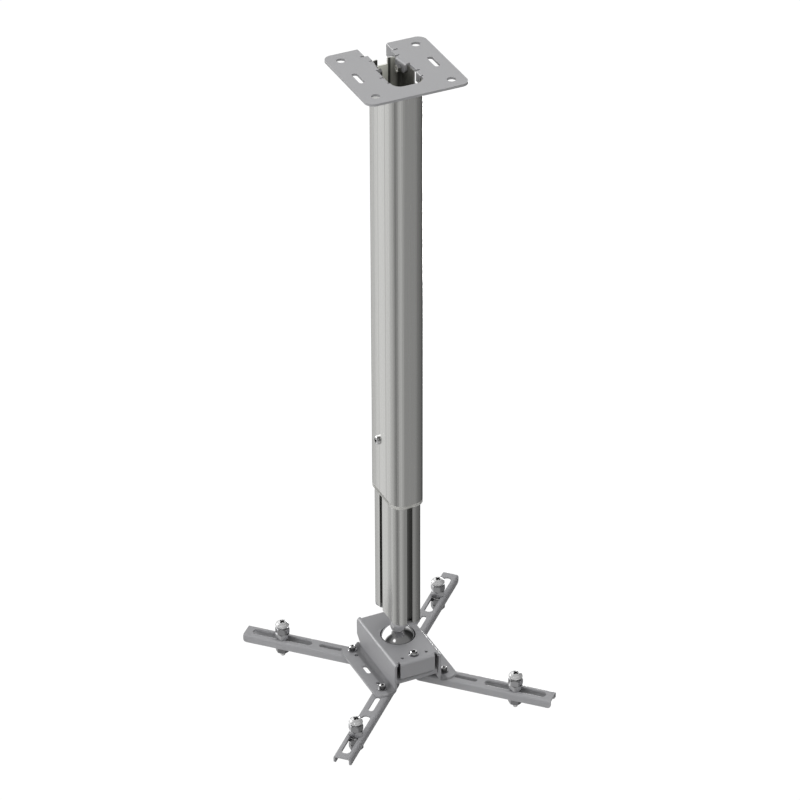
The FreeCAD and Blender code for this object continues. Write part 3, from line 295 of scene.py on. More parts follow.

# Painted reflections and shade on the outer column's matte inside, from left to right: (place in X,
# brightness)
TUBE_INSIDE_PAINTED_LIGHT = ((-15 * MM, 0.06), (-5.8 * MM, 0.06), (-5.4 * MM, 0.85), (4.9 * MM, 0.85),
              (5.4 * MM, 0.05), (6.8 * MM, 0.05), (8.5 * MM, 0.4), (11.5 * MM, 0.35),
              (13.8 * MM, 0.05), (15.2 * MM, 0.1))
TUBE_BLUE = 0.9  # blue in that tone, as a share of its red and green
TUBE_SKIN = (-1.5 * MM, -0.8 * MM)  # where the matte inside turns into the satin outside

PIVOT_CROWN = 1.1 * MM  # painted shade covers the pivot screws' sides up to this far below their tops
CROWN_BLUR = 0.15 * MM


def powder_coat(name, colour, foot=None):
    """Matte coat with a faint orange peel and a speckle a few tenths of a millimetre wide.

    The foot is (X, half width, height) of a bend where shade is painted into the coat.
    """
    look = Finish(name)
    speckle = look.noise(2600, detail=2)
    cloud = look.noise(38, detail=4)
    tone = look.mix(speckle * 0.55 + cloud * 0.45, shade(colour, 0.93), shade(colour, 1.07))
    roughness = 0.33 + cloud * 0.08
    if foot:
        place, half_width, height = foot
        # Painted shade along the concave bend at the foot of each side, fading out above it
        beside = look.axis("X").math("ABSOLUTE").distance_to(place)
        shadow = (1 - beside.between(half_width * 0.5, half_width)) \
            * (1 - look.axis("Z").between(height, height + FOOT_BEND_FADE))
        tone = look.mix(shadow * 0.9, tone, shade(colour, 0.55))
        roughness = roughness + shadow * 0.5
    peel = look.noise(900, detail=3)
    return look.finish(Base_Color=tone, Metallic=0.0, Roughness=roughness, Specular_IOR_Level=0.5,
                       Normal=look.bump(peel, FINE_BUMP, 0.4))


def satin_aluminium(name, colour, lines_and_shade, grooves=(), radius=None):
    """Anodised extrusion: fine lines along the column, darker lines that stand for draw marks and also
    paint the shade of reflections, painted shade in grooves, and sides that are not quite flat but bulge a
    little, so that reflections spread over them.

    The radius is the corner radius of a tube whose inside is matte and carries painted reflections and
    shade.
    """
    look = Finish(name)
    grain = look.noise(1.0, detail=4, place=look.stretched((2600, 2600, 9)))
    band = look.noise(1.0, detail=2, place=look.stretched((160, 160, 0.6)))
    tone = look.mix(grain * 0.35 + band * 0.65, shade(colour, 0.95), shade(colour, 1.05))
    across = look.axis("X")
    depth = look.axis("Y")
    for place, width, strength in lines_and_shade:
        # Darker lines that stand for draw marks and also paint the shade of reflections
        mark = 1 - depth.distance_to(place).between(width * 0.3, width)
        tone = look.mix(mark * strength, tone, shade(colour, 0.5))
    for low, high in grooves:
        # Painted shade inside the grooves
        groove_shade = across.inside(low[0], high[0], GROOVE_BLUR) * depth.inside(low[1], high[1], GROOVE_BLUR)
        tone = look.mix(groove_shade, tone, shade(colour, 0.3))
    metallic = 1.0
    roughness = 0.22 + band * 0.05 + grain * 0.04
    if radius:
        width = 2 * (TUBE_CORNER[0] + radius)
        beyond_x = (across.math("ABSOLUTE") - TUBE_CORNER[0]).math("MAXIMUM", 0.0)
        beyond_y = (depth.math("ABSOLUTE") - TUBE_CORNER[1]).math("MAXIMUM", 0.0)
        reach = (beyond_x * beyond_x + beyond_y * beyond_y).math("SQRT") - radius
        outside = reach.between(*TUBE_SKIN)
        # Painted reflections and shade across the matte inside of the tube
        painted_stops = [(place / width + 0.5, (value, value, value * TUBE_BLUE, 1))
                 for place, value in TUBE_INSIDE_PAINTED_LIGHT]
        inside = look.node("ShaderNodeValToRGB", {"stops": painted_stops}, {0: across / width + 0.5})
        tone = look.mix(outside, inside, tone)
        metallic = outside
        roughness = roughness + (1 - outside) * 0.2
    flat = depth.math("MAXIMUM", -TUBE_CORNER[1]).math("MINIMUM", TUBE_CORNER[1])
    bulge = flat * flat * (-0.5 / BULGE_RADIUS) + grain * LINE_HEIGHT
    return look.finish(Base_Color=tone, Metallic=metallic, Roughness=roughness,
                       Normal=look.bump(bulge, 1.0, 1.0))


def bright_plating(name, colour, roughness=0.10, painted_shade_below=None, metallic=1.0):
    """Polished plating with a faint haze, with painted shade inside a recess and below a height that is
    given.
    """
    look = Finish(name)
    haze = look.noise(420, detail=4)
    ripple = look.noise(170, detail=1)
    tone = look.mix(haze, shade(colour, 0.94), shade(colour, 1.04))
    rough = roughness + haze * 0.08
    # Painted shade in the cross recess
    recess = look.node("ShaderNodeAttribute", {"attribute_name": "recess"}, output="Fac")
    tone = look.mix(recess, tone, shade(colour, 0.06))
    # Painted shade below the given height, on the pivot screws' sides
    if painted_shade_below is not None:
        low = 1 - look.axis("Z").between(painted_shade_below - CROWN_BLUR, painted_shade_below + CROWN_BLUR)
        tone = look.mix(low, tone, shade(colour, 0.22))
        rough = rough + low * 0.2
    return look.finish(Base_Color=tone, Metallic=metallic, Roughness=rough,
                       Normal=look.bump(ripple, FINE_BUMP, 0.4))


def moulded_plastic(name, colour):
    """Fine-grained moulded plastic."""
    look = Finish(name)
    grain = look.noise(1900, detail=2)
    tone = look.mix(grain, shade(colour, 0.85), shade(colour, 1.2))
    return look.finish(Base_Color=tone, Metallic=0.0, Roughness=0.42 + grain * 0.08,
                       Normal=look.bump(grain, FINE_BUMP, 0.5))


finishes = {}


def make_finishes():
    """Makes every finish once, from the colours in the sidebar."""
    colours = bpy.context.scene.mount_colours
    coat, bracket = tuple(colours.coat), tuple(colours.bracket_coat)
    aluminium, plating = tuple(colours.aluminium), tuple(colours.plating)
    inner = tuple(channel * 0.93 for channel in aluminium)
    flange_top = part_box("pivot_washers")[0][2]
    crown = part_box("pivot_screws")[1][2]
    finishes.update({
        "plate": powder_coat("plate_coat", coat),
        "bracket": powder_coat("bracket_coat", bracket),
        "housing": powder_coat("housing_coat", bracket,
                               foot=(FOOT_BEND, FOOT_BEND_REACH, flange_top + FOOT_BEND_HEIGHT)),
        "outer_tube": satin_aluminium("outer_column_aluminium", aluminium, OUTER_LINES_AND_SHADE,
                                      radius=OUTER_RADIUS),
        "inner_tube": satin_aluminium("inner_column_aluminium", inner, INNER_LINES_AND_SHADE, INNER_GROOVES),
        "ring": moulded_plastic("end_ring_plastic", (0.42, 0.42, 0.40)),
        "plating": bright_plating("bright_plating", plating),
        # A duller copy of the plating whose darker colour paints the shade on nuts and washers under and
        # between parts; the nuts over the arms take the lighter nut plating
        "dull_shaded_plating": bright_plating("dull_shaded_plating", (0.38, 0.38, 0.39), roughness=0.2),
        "nut_plating": bright_plating("nut_plating", (0.6, 0.6, 0.61)),
        "head_plating": bright_plating("head_plating", (0.72, 0.72, 0.72), roughness=0.12,
                                       metallic=0.5),
        "pivot_plating": bright_plating("pivot_plating", plating, painted_shade_below=crown - PIVOT_CROWN),
        "plastic": moulded_plastic("black_plastic", tuple(colours.plastic)),
    })


# Meshes

def dress(mesh, material):
    """Gives a mesh one material."""
    mesh.materials.clear()
    mesh.materials.append(material)


def new_piece(name, mesh, material):
    """A shown object at the origin, with its material."""
    piece = bpy.data.objects.new(name, mesh)
    bpy.context.collection.objects.link(piece)
    dress(mesh, material)
    return piece


def mesh_of(name, built):
    """The finished mesh of a shape under construction."""
    mesh = bpy.data.meshes.new(name)
    built.to_mesh(mesh)
    built.free()
    return mesh


def close_band(built, low, high):
    """Faces between two rings of points."""
    count = len(low)
    for index in range(count):
        after = (index + 1) % count
        built.faces.new((low[index], low[after], high[after], high[index]))


def ring_mesh(name, rings, closed):
    """A mesh through rings of points; closed joins the last ring to the first."""
    built = bmesh.new()
    rows = [[built.verts.new(point) for point in ring] for ring in rings]
    for low, high in zip(rows, rows[1:]):
        close_band(built, low, high)
    if closed:
        close_band(built, rows[-1], rows[0])
    else:
        built.faces.new(list(reversed(rows[0])))
        built.faces.new(rows[-1])
    bmesh.ops.recalc_face_normals(built, faces=built.faces)
    return mesh_of(name, built)


def circle_ring(radius, height, segments):
    """Points of a level circle."""
    angles = [math.tau * step / segments for step in range(segments)]
    return [(radius * math.cos(angle), radius * math.sin(angle), height) for angle in angles]


def lathe(name, profile, segments=64, closed=False):
    """A turned solid from (radius, height) pairs, open ends being capped."""
    pole = 0.02 * MM  # what stands in for a radius of nothing
    return ring_mesh(name, [circle_ring(max(radius, pole), height, segments)
                            for radius, height in profile], closed)


def quarter_arc(across, height, radius, steps=8):
    """Points of a quarter circle round a centre, from its side up to its top."""
    angles = [math.pi / 2 * step / steps for step in range(steps + 1)]
    return [(across + radius * math.cos(angle), height + radius * math.sin(angle)) for angle in angles]


def smooth(mesh, degrees=35):
    """Smooth shading with edges kept that are sharper than an angle."""
    for face in mesh.polygons:
        face.use_smooth = True
    mesh.set_sharp_from_angle(angle=math.radians(degrees))
    return mesh


def applied(piece):
    """The mesh that an object's modifiers make; the object itself is removed."""
    evaluated = piece.evaluated_get(bpy.context.evaluated_depsgraph_get())
    mesh = bpy.data.meshes.new_from_object(evaluated)
    bpy.data.objects.remove(piece)
    return mesh


def without(mesh, cutter_mesh):
    """A mesh with another one cut away; the faces that the cut leaves carry the mark "recess"."""
    for item, value in ((mesh, 0.0), (cutter_mesh, 1.0)):
        mark = item.attributes.new("recess", "FLOAT", "FACE")
        for entry in mark.data:
            entry.value = value
    solid = bpy.data.objects.new("solid", mesh)
    cutter = bpy.data.objects.new("cutter", cutter_mesh)
    for item in (solid, cutter):
        bpy.context.collection.objects.link(item)
    modifier = solid.modifiers.new("recess", "BOOLEAN")
    modifier.operation = "DIFFERENCE"
    modifier.solver = "EXACT"
    modifier.use_self = True
    modifier.object = cutter
    result = applied(solid)
    bpy.data.objects.remove(cutter)
    if not any(entry.value > 0.5 for entry in result.attributes["recess"].data):
        raise RuntimeError("the cut left no marked faces")
    return result


def cross_cutter(width, blade, depth, top):
    """Two crossed tapering blades that leave a screwdriver recess."""
    built = bmesh.new()
    over = 0.5 * MM
    for turn in (0, math.pi / 2):
        corners = []
        for share, height in ((1.0, top + over), (BLADE_TAPER, top - depth)):
            for x, y in ((1, 1), (-1, 1), (-1, -1), (1, -1)):
                point = Vector((x * width / 2 * share, y * blade / 2, height))
                corners.append(built.verts.new(Matrix.Rotation(turn, 3, "Z") @ point))
        upper, lower = corners[:4], corners[4:]
        built.faces.new(upper)
        built.faces.new(list(reversed(lower)))
        close_band(built, lower, upper)
    return mesh_of("cross_cutter", built)


def dome_arc(radius, seat, largest, smallest, steps=10):
    """Points of the shared dome between two radii, as (radius, height over the seat)."""
    first = math.acos(largest / radius)
    last = math.acos(smallest / radius)
    points = []
    for step in range(steps + 1):
        angle = first + (last - first) * step / steps
        points.append((radius * math.cos(angle), DOME_FOOT + DOME_RISE * math.sin(angle) - seat))
    return points


def screw_mesh(name, head, head_height, thread, length, tip=0.0, round_share=0.75,
               recess=RECESS_WIDTH, dome=None):
    """A pan-headed screw with a cross recess: its seat at height 0 and its head above.

    The tip is the bevel at its end, the round share is the rounded part of the head's side, and the
    dome is a profile that takes the place of the head's upper side.
    """
    sizes = bpy.context.scene.mount_sizes
    radius = head / 2
    edge = 0.15 * MM
    if not dome:
        # A rounded side that ends under the slightly raised middle
        shoulder = head_height - CROWN_RISE * head
        bend = shoulder * round_share
        dome = quarter_arc(radius - bend, shoulder - bend, bend) + [(CROWN_FLAT * head, head_height)]
    profile = [
        (0, -length), (thread / 2 - tip, -length), (thread / 2, -length + max(tip, edge)),
        (thread / 2, -0.1 * MM), (thread / 2 + edge, 0), (radius - edge, 0), (radius, edge),
    ] + dome + [(0, head_height)]
    body = lathe(name, profile, 48)
    width = head * recess
    depth = head_height * sizes.recess_depth
    cut = without(body, cross_cutter(width, width * BLADE_SHARE, depth, head_height))
    return smooth(cut, 40)


def hollow_bolt_mesh(length):
    """Round-headed bolt with a bore from end to end, its seat at height 0."""
    radius = BOLT_HEAD / 2
    end_bevel = 0.5 * MM
    dome = dome_arc(radius, 0, radius, BOLT_SINK / 2 + 0.1 * MM)
    sink_floor = BOLT_HEAD_HEIGHT - BOLT_SINK_DEPTH
    profile = [
        (BOLT_BORE / 2, -length), (BOLT_BORE / 2, sink_floor),
        (BOLT_SINK / 2, sink_floor), (BOLT_SINK / 2, dome[-1][1] - 0.1 * MM),
    ] + dome[::-1] + [
        (radius - 0.4 * MM, 0.3 * MM), (radius - 1 * MM, 0), (BOLT_THREAD / 2, 0),
        (BOLT_THREAD / 2, -length + end_bevel), (BOLT_THREAD / 2 - end_bevel, -length),
    ]
    return smooth(lathe("hollow_bolt_mesh", profile, 72, closed=True), 40)


def nut_mesh(name, flats, height, bore):
    """A hexagon nut whose corners are trimmed by a cone on both faces, standing on height 0."""
    sizes = bpy.context.scene.mount_sizes
    segments = 72
    apothem = flats / 2
    crown = apothem * 0.95  # radius of the flat ring on each face
    slope = math.tan(sizes.nut_chamfer)
    lead = 0.35 * MM  # bevel at both ends of the bore

    def hexagon(top):
        points = []
        for step in range(segments):
            angle = math.tau * step / segments
            reach = apothem / math.cos((angle % (math.pi / 3)) - math.pi / 6)
            drop = (reach - crown) * slope
            points.append((reach * math.cos(angle), reach * math.sin(angle),
                           height - drop if top else drop))
        return points
    rings = [
        circle_ring(bore / 2, lead, segments),
        circle_ring(bore / 2 + lead, 0, segments),
        circle_ring(crown, 0, segments),
        hexagon(False),
        hexagon(True),
        circle_ring(crown, height, segments),
        circle_ring(bore / 2 + lead, height, segments),
        circle_ring(bore / 2, height - lead, segments),
    ]
    return smooth(ring_mesh(name, rings, closed=True), 25)


def washer_mesh(name, diameter, height, bore):
    """A flat ring with rolled edges."""
    lip = height * 0.3  # width and height of the bevels that make the rolled edges
    inner, outer = bore / 2, diameter / 2
    profile = [
        (inner, lip), (inner + lip, 0), (outer - lip, 0), (outer, lip),
        (outer, height - lip), (outer - lip, height), (inner + lip, height), (inner, height - lip),
    ]
    return smooth(lathe(name, profile, 64, closed=True), 50)


def placed(mesh, matrix):
    """A copy of a mesh moved by a matrix."""
    copy = mesh.copy()
    copy.transform(matrix)
    return copy


def upright(x, y, z, heading=0.0):
    """The place of a piece that stands upright, turned about its own axis."""
    return Matrix.Translation((x, y, z)) @ Matrix.Rotation(heading, 4, "Z")


def middle(node):
    """Centre of a node's box."""
    low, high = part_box(node)
    return (Vector(low) + Vector(high)) / 2


def body_of(node):
    """Name of the body that carries a node."""
    for body, nodes in frame["record"]["behaviour"]["bodies"].items():
        if node in nodes:
            return body
    raise RuntimeError(f"no body carries {node}")


def stand_for(piece, node):
    """Puts a piece in the place of a CAD node, on the body that carries it."""
    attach(piece, body_of(node))
    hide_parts(node)


def fastener(node, mesh, place, finish):
    """Sets a fastener's mesh at its place, instead of the CAD node."""
    stand_for(new_piece(f"{node}_piece", placed(mesh, place), finishes[finish]), node)


def round_arcs(built, radius):
    """Splits the level edges on a column's round corners and moves the new points outwards."""
    centre_x, centre_y = TUBE_CORNER
    near = 0.02 * MM

    def on_arc(vertex):
        beyond_x = abs(vertex.co.x) - centre_x
        beyond_y = abs(vertex.co.y) - centre_y
        outside = min(beyond_x, beyond_y) > -near / 2
        return outside and abs(math.hypot(beyond_x, beyond_y) - radius) < near
    arcs = []
    for edge in built.edges:
        first, last = edge.verts
        if abs(first.co.z - last.co.z) < near / 20 and on_arc(first) and on_arc(last):
            arcs.append(edge)
    if not arcs:
        raise RuntimeError(f"no round corner of {radius}")
    made = bmesh.ops.subdivide_edges(built, edges=arcs, cuts=3, use_grid_fill=False)
    for item in made["geom_inner"]:
        if isinstance(item, bmesh.types.BMVert):
            centre = Vector((math.copysign(centre_x, item.co.x), math.copysign(centre_y, item.co.y)))
            outwards = (Vector((item.co.x, item.co.y)) - centre).normalized()
            item.co.x, item.co.y = centre + outwards * radius


def softened(node, width, finish, radius=None, extra=None, merged=True):
    """A copy of a CAD node with broken edges and smooth bends.

    The radius is that of a column's round corners, which then get more facets; extra is a mesh that
    is joined to the copy; merged says whether the triangles of its flat faces are merged first.
    """
    mesh = frame["nodes"][node].data.copy()
    mesh.name = f"{node}_soft"
    built = bmesh.new()
    built.from_mesh(mesh)
    if extra:
        built.from_mesh(extra)
    bmesh.ops.remove_doubles(built, verts=built.verts, dist=0.002 * MM)
    if merged:
        bmesh.ops.dissolve_limit(built, angle_limit=math.radians(0.4), verts=built.verts,
                                 edges=built.edges)
    if radius:
        round_arcs(built, radius)
    built.to_mesh(mesh)
    built.free()
    piece = new_piece(f"{node}_piece", smooth(mesh), finishes[finish])
    bevel = piece.modifiers.new("broken_edges", "BEVEL")
    bevel.width = width
    bevel.segments = 2
    bevel.limit_method = "ANGLE"
    bevel.angle_limit = math.radians(40)
    bevel.harden_normals = True
    weighted = piece.modifiers.new("even_shading", "WEIGHTED_NORMAL")
    weighted.keep_sharp = True
    stand_for(piece, node)


def back_corner_fillers():
    """Small bent strips that close the housing's back corners between its top and its back flap."""
    back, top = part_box("bracket_housing")[1][1:]
    corner = (back - SHEET_BEND, top - SHEET_BEND)
    start = back - FILLER_START
    outer = quarter_arc(*corner, SHEET_BEND)
    inner = quarter_arc(*corner, SHEET_BEND - SHEET)
    profile = [(start, top)] + outer[::-1] + inner + [(start, top - SHEET)]
    built = bmesh.new()
    for side in (-1, 1):
        ends = [[built.verts.new((side * across, y, z)) for y, z in profile] for across in FILLER_SPAN]
        close_band(built, *ends)
        for end in ends:
            built.faces.new(end)
    bmesh.ops.recalc_face_normals(built, faces=built.faces)
    return mesh_of("back_corner_fillers", built)


# Geometry Nodes for what repeats

def repeat_tree(name, layout):
    """A node tree that sets one fastener on points and turns each copy a step further.

    The layout is "grid", four points on a rectangle, or "stack", points above each other.
    """
    tree = bpy.data.node_groups.new(name, "GeometryNodeTree")
    tree.interface.new_socket("Geometry", in_out="OUTPUT", socket_type="NodeSocketGeometry")
    kinds = {"Fastener": "Object", "Finish": "Material", "Place": "Vector", "First Turn": "Float",
             "Turn": "Float"}
    if layout == "grid":
        kinds.update({"Width": "Float", "Depth": "Float"})
    else:
        kinds.update({"Count": "Int", "Step": "Float"})
    for title, kind in kinds.items():
        tree.interface.new_socket(title, in_out="INPUT", socket_type=f"NodeSocket{kind}")
    given = tree.nodes.new("NodeGroupInput").outputs
    if layout == "grid":
        points = add_node(tree, "GeometryNodeMeshGrid", None,
                          {"Vertices X": 2, "Vertices Y": 2,
                           "Size X": given["Width"], "Size Y": given["Depth"]})
    else:
        rise = add_node(tree, "ShaderNodeCombineXYZ", None, {"Z": given["Step"]})
        points = add_node(tree, "GeometryNodeMeshLine", {"mode": "OFFSET"},
                          {"Count": given["Count"], "Offset": rise.outputs[0]})
    moved = add_node(tree, "GeometryNodeTransform", None,
                     {"Geometry": points.outputs["Mesh"], "Translation": given["Place"]})
    index = add_node(tree, "GeometryNodeInputIndex")
    turned = add_node(tree, "ShaderNodeMath", {"operation": "MULTIPLY_ADD"},
                      {0: index.outputs[0], 1: given["Turn"], 2: given["First Turn"]})
    rotation = add_node(tree, "ShaderNodeCombineXYZ", None, {"Z": turned.outputs[0]})
    source = add_node(tree, "GeometryNodeObjectInfo", {"transform_space": "ORIGINAL"},
                      {"Object": given["Fastener"]})
    copies = add_node(tree, "GeometryNodeInstanceOnPoints", None,
                      {"Points": moved.outputs["Geometry"], "Instance": source.outputs["Geometry"],
                       "Rotation": rotation.outputs[0]})
    real = add_node(tree, "GeometryNodeRealizeInstances", None,
                    {"Geometry": copies.outputs["Instances"]})
    dressed = add_node(tree, "GeometryNodeSetMaterial", None,
                       {"Geometry": real.outputs["Geometry"], "Material": given["Finish"]})
    add_node(tree, "NodeGroupOutput", None, {"Geometry": dressed.outputs["Geometry"]})
    return tree


def repeated(name, tree, template, finish, node, **inputs):
    """Runs a repeat tree and turns what it gives into one plain piece, instead of a CAD node."""
    material = finishes[finish]
    source = bpy.data.objects.new("template", template)
    holder = bpy.data.objects.new("holder", bpy.data.meshes.new("holder"))
    for item in (source, holder):
        bpy.context.collection.objects.link(item)
    modifier = holder.modifiers.new("repeat", "NODES")
    modifier.node_group = tree
    values = {"Fastener": source, "Finish": material}
    values.update({title.replace("_", " "): value for title, value in inputs.items()})
    for item in tree.interface.items_tree:
        if item.in_out == "INPUT" and item.name in values:
            modifier[item.identifier] = values[item.name]
    mesh = applied(holder)
    bpy.data.objects.remove(source)
    if not mesh.polygons:
        raise RuntimeError(f"{name} came out empty")
    stand_for(new_piece(name, mesh, material), node)


# Floor, reflections, lights and camera

FLOOR_HEIGHT = -2.4
FLOOR_REACH = 30
BACKDROP_RADIUS = 20
BACKDROP_BRIGHTNESS = 1.05

# What polished surfaces see all round, the walls below and the roof above: (compass angle in degrees,
# brightness). The walls turn into the roof, and the roof into a plain cap, between two heights each,
# which are shares of the radius
REFLECTION_RADIUS = 8
REFLECTION_STRENGTH = 1.6
WALL_PANELS = ((0, 0.09), (20, 0.05), (65, 0.04), (85, 0.07), (97, 0.17), (104, 0.36), (109, 0.48),
               (113, 0.52), (118, 0.6), (123, 0.48), (129, 0.4), (156, 0.36), (180, 0.29), (203, 0.11),
               (222, 0.2), (246, 0.39), (270, 0.28), (295, 0.2), (313, 0.14), (336, 0.11))
ROOF_PANELS = ((0, 0.01), (16, 0.01), (27, 0.15), (44, 0.6), (62, 0.7), (87, 0.85), (149, 0.95),
               (155, 0.4), (160, 0.05), (166, 0.02), (182, 0.04), (200, 0.13), (245, 0.12), (325, 0.1),
               (342, 0.02))
ROOF_START = (-0.24, -0.08)
CAP_START = (0.7, 0.85)
CAP_BRIGHTNESS = 0.1

# The small lamp that makes the ball's round spot: its compass angle and height, and how far from its
# middle it starts and ends to fade, as shares of a full turn and of the radius
SOFTBOX_TURN = 218
SOFTBOX_HEIGHT = 0.52
SOFTBOX_FADE_ASIDE = (0.016, 0.03)
SOFTBOX_FADE_UPWARDS = (0.09, 0.16)

# Area lights: name, place, target, side length, power, and whether it shows in polished edges only
AIM = (0, 0, -0.5)
EDGE_AIM = (0, 0, -0.65)
LIGHTS = (
    ("top_light", (0.3, -0.6, 2.4), AIM, 4.4, 125, False),
    ("left_light", (-3.4, -0.3, 0.1), AIM, 3.0, 100, False),
    ("front_light", (0.3, -3.8, 0.1), AIM, 2.6, 24, False),
    ("left_edge_light", (-2.2, 3.1, 0.75), EDGE_AIM, 0.9, 60, True),
    ("right_edge_light", (2.2, 3.0, -1.95), EDGE_AIM, 0.9, 50, True),
    ("back_floor_light", (0.8, 3.6, -0.9), (0.8, 3.6, -3.0), 4.4, 150, False),
    ("left_floor_light", (-2.2, 2.6, -1.2), (-2.2, 2.6, -3.0), 2.0, 8, False),
    ("front_floor_light", (-0.3, -3.6, -1.6), (-0.3, -3.6, -3.0), 0.8, 5, False),
)
WORLD_BRIGHTNESS = 0.03

# The photograph's viewpoint, with angles in degrees and the focal length in pixels of its square
CAMERA_PLACE = (-1.41874, -3.03722, 1.78932)
CAMERA_AZIMUTH = -25.087
CAMERA_ELEVATION = 32.731
CAMERA_ROLL = -0.162
FOCAL_PIXELS = 4068.92
PHOTO_SIDE = 800
SENSOR_WIDTH = 36


def shell_mesh(name, radius):
    """The mesh of a sphere around the whole stage, facing inwards."""
    built = bmesh.new()
    bmesh.ops.create_icosphere(built, subdivisions=4, radius=radius)
    bmesh.ops.reverse_faces(built, faces=built.faces)
    return mesh_of(name, built)


def glow(look, tone, strength):
    """Ends a material that only glows and is no lamp to the renderer."""
    material = look.finish(Base_Color=(0, 0, 0, 1), Specular_IOR_Level=0.0, Emission_Color=tone,
                           Emission_Strength=strength)
    material.cycles.emission_sampling = "NONE"
    return material


def unlit(piece):
    """Keeps a bright surface of the stage from lighting or shading the mount by itself."""
    piece.visible_diffuse = False
    piece.visible_shadow = False
    piece.visible_transmission = False
    piece.visible_volume_scatter = False
    return piece


def make_floor():
    """A large pale floor well below the mount, and a white backdrop all round.

    The floor that bounces the light is hidden from the camera, which sees an evenly bright one in its
    place, so that the ground is as pale from every side.
    """
    mesh = bpy.data.meshes.new("floor")
    corners = ((-1, -1), (1, -1), (1, 1), (-1, 1))
    mesh.from_pydata([(x * FLOOR_REACH, y * FLOOR_REACH, FLOOR_HEIGHT) for x, y in corners], [],
                     [(0, 1, 2, 3)])
    look = Finish("pale_floor")
    grain = look.noise(3, detail=3)
    tone = look.mix(grain, (0.92, 0.92, 0.92, 1), (0.95, 0.95, 0.95, 1))
    floor = new_piece("floor", mesh, look.finish(Base_Color=tone, Roughness=0.9, Specular_IOR_Level=0.0))
    floor.visible_glossy = False
    floor.visible_camera = False
    look = Finish("white_backdrop")
    grain = look.noise(0.4, detail=2)
    tone = look.mix(grain, (0.97, 0.97, 0.97, 1), (1, 1, 1, 1))
    white = glow(look, tone, BACKDROP_BRIGHTNESS)
    bright_floor = unlit(new_piece("bright_floor", mesh.copy(), white))
    backdrop = unlit(new_piece("backdrop", shell_mesh("backdrop", BACKDROP_RADIUS), white))
    for piece in (bright_floor, backdrop):
        piece.visible_glossy = False


def make_reflections():
    """A wide shell that only polished surfaces see, brighter and darker from side to side."""
    look = Finish("reflected_studio")
    turn = look.axis("Y").math("ARCTAN2", look.axis("X")) / math.tau
    turn = turn.math("FRACT")
    height = look.axis("Z") / REFLECTION_RADIUS

    def panels(stops):
        colours = [(angle / 360, (value, value, value, 1)) for angle, value in stops]
        return look.node("ShaderNodeValToRGB", {"stops": colours}, {0: turn})
    walls = panels(WALL_PANELS)
    roof = panels(ROOF_PANELS)
    tone = look.mix(height.between(*ROOF_START), walls, roof)
    tone = look.mix(height.between(*CAP_START), tone, shade((1, 1, 1), CAP_BRIGHTNESS))
    softbox = (1 - turn.distance_to(SOFTBOX_TURN / 360).between(*SOFTBOX_FADE_ASIDE)) \
        * (1 - height.distance_to(SOFTBOX_HEIGHT).between(*SOFTBOX_FADE_UPWARDS))
    tone = look.mix(softbox, tone, (1, 1, 1, 1))
    shell = unlit(new_piece("reflections", shell_mesh("reflections", REFLECTION_RADIUS),
                            glow(look, tone, REFLECTION_STRENGTH)))
    shell.visible_camera = False


def area_light(name, place, target, size, power, edges_only):
    """A square soft light that faces a target."""
    data = bpy.data.lights.new(name, "AREA")
    data.shape = "SQUARE"
    data.size = size
    data.energy = power
    light = bpy.data.objects.new(name, data)
    bpy.context.collection.objects.link(light)
    light.location = place
    light.rotation_euler = (Vector(target) - Vector(place)).to_track_quat("-Z", "Y").to_euler()
    light.visible_camera = False
    light.visible_diffuse = not edges_only
    light.visible_glossy = edges_only


def make_lights():
    """The area lights, and a dim fill from all round."""
    scene = bpy.context.scene
    scene.view_settings.view_transform = "Standard"
    scene.world = bpy.data.worlds.new("studio")
    scene.world.use_nodes = True
    background = scene.world.node_tree.nodes["Background"]
    background.inputs["Color"].default_value = (1, 1, 1, 1)
    background.inputs["Strength"].default_value = WORLD_BRIGHTNESS
    for light in LIGHTS:
        area_light(*light)


def make_camera():
    """The photograph's viewpoint."""
    azimuth = math.radians(CAMERA_AZIMUTH)
    elevation = math.radians(CAMERA_ELEVATION)
    back = Vector((math.sin(azimuth) * math.cos(elevation), -math.cos(azimuth) * math.cos(elevation),
                   math.sin(elevation)))
    right = Vector((math.cos(azimuth), math.sin(azimuth), 0))
    turn = Matrix((right, back.cross(right), back)).transposed().to_4x4()
    data = bpy.data.cameras.new("camera")
    data.sensor_width = SENSOR_WIDTH
    data.lens = SENSOR_WIDTH * FOCAL_PIXELS / PHOTO_SIDE
    data.clip_start = 0.1
    data.clip_end = 100
    camera = bpy.data.objects.new("camera", data)
    bpy.context.collection.objects.link(camera)
    camera.matrix_world = Matrix.Translation(CAMERA_PLACE) @ turn \
        @ Matrix.Rotation(math.radians(CAMERA_ROLL), 4, "Z")
    bpy.context.scene.camera = camera


# Operators

class MOUNT_OT_finishes(bpy.types.Operator):
    """Make the powder coat, aluminium, plating and plastic finishes"""
    bl_idname = "mount.finishes"
    bl_label = "Finishes"

    def execute(self, context):
        make_finishes()
        return {"FINISHED"}


class MOUNT_OT_ceiling_plate(bpy.types.Operator):
    """Soften the folded ceiling plate and add its tongue screws"""
    bl_idname = "mount.ceiling_plate"
    bl_label = "Ceiling plate"

    def execute(self, context):
        sizes = context.scene.mount_sizes
        softened("ceiling_plate", sizes.sheet_edge, "plate")
        centre = middle("tongue_screws")
        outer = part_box("outer_column")[1][0]
        screw = screw_mesh("tongue_screw", **TONGUE_SCREW)
        joined = bmesh.new()
        for side in (1, -1):
            turn = Matrix.Rotation(side * math.pi / 2, 4, "Y")
            joined.from_mesh(placed(screw, upright(side * outer, centre.y, centre.z) @ turn))
        both = smooth(mesh_of("tongue_screws", joined), 40)
        fastener("tongue_screws", both, Matrix(), "plating")
        dress(frame["nodes"]["tongue_nuts"].data, finishes["plating"])
        return {"FINISHED"}


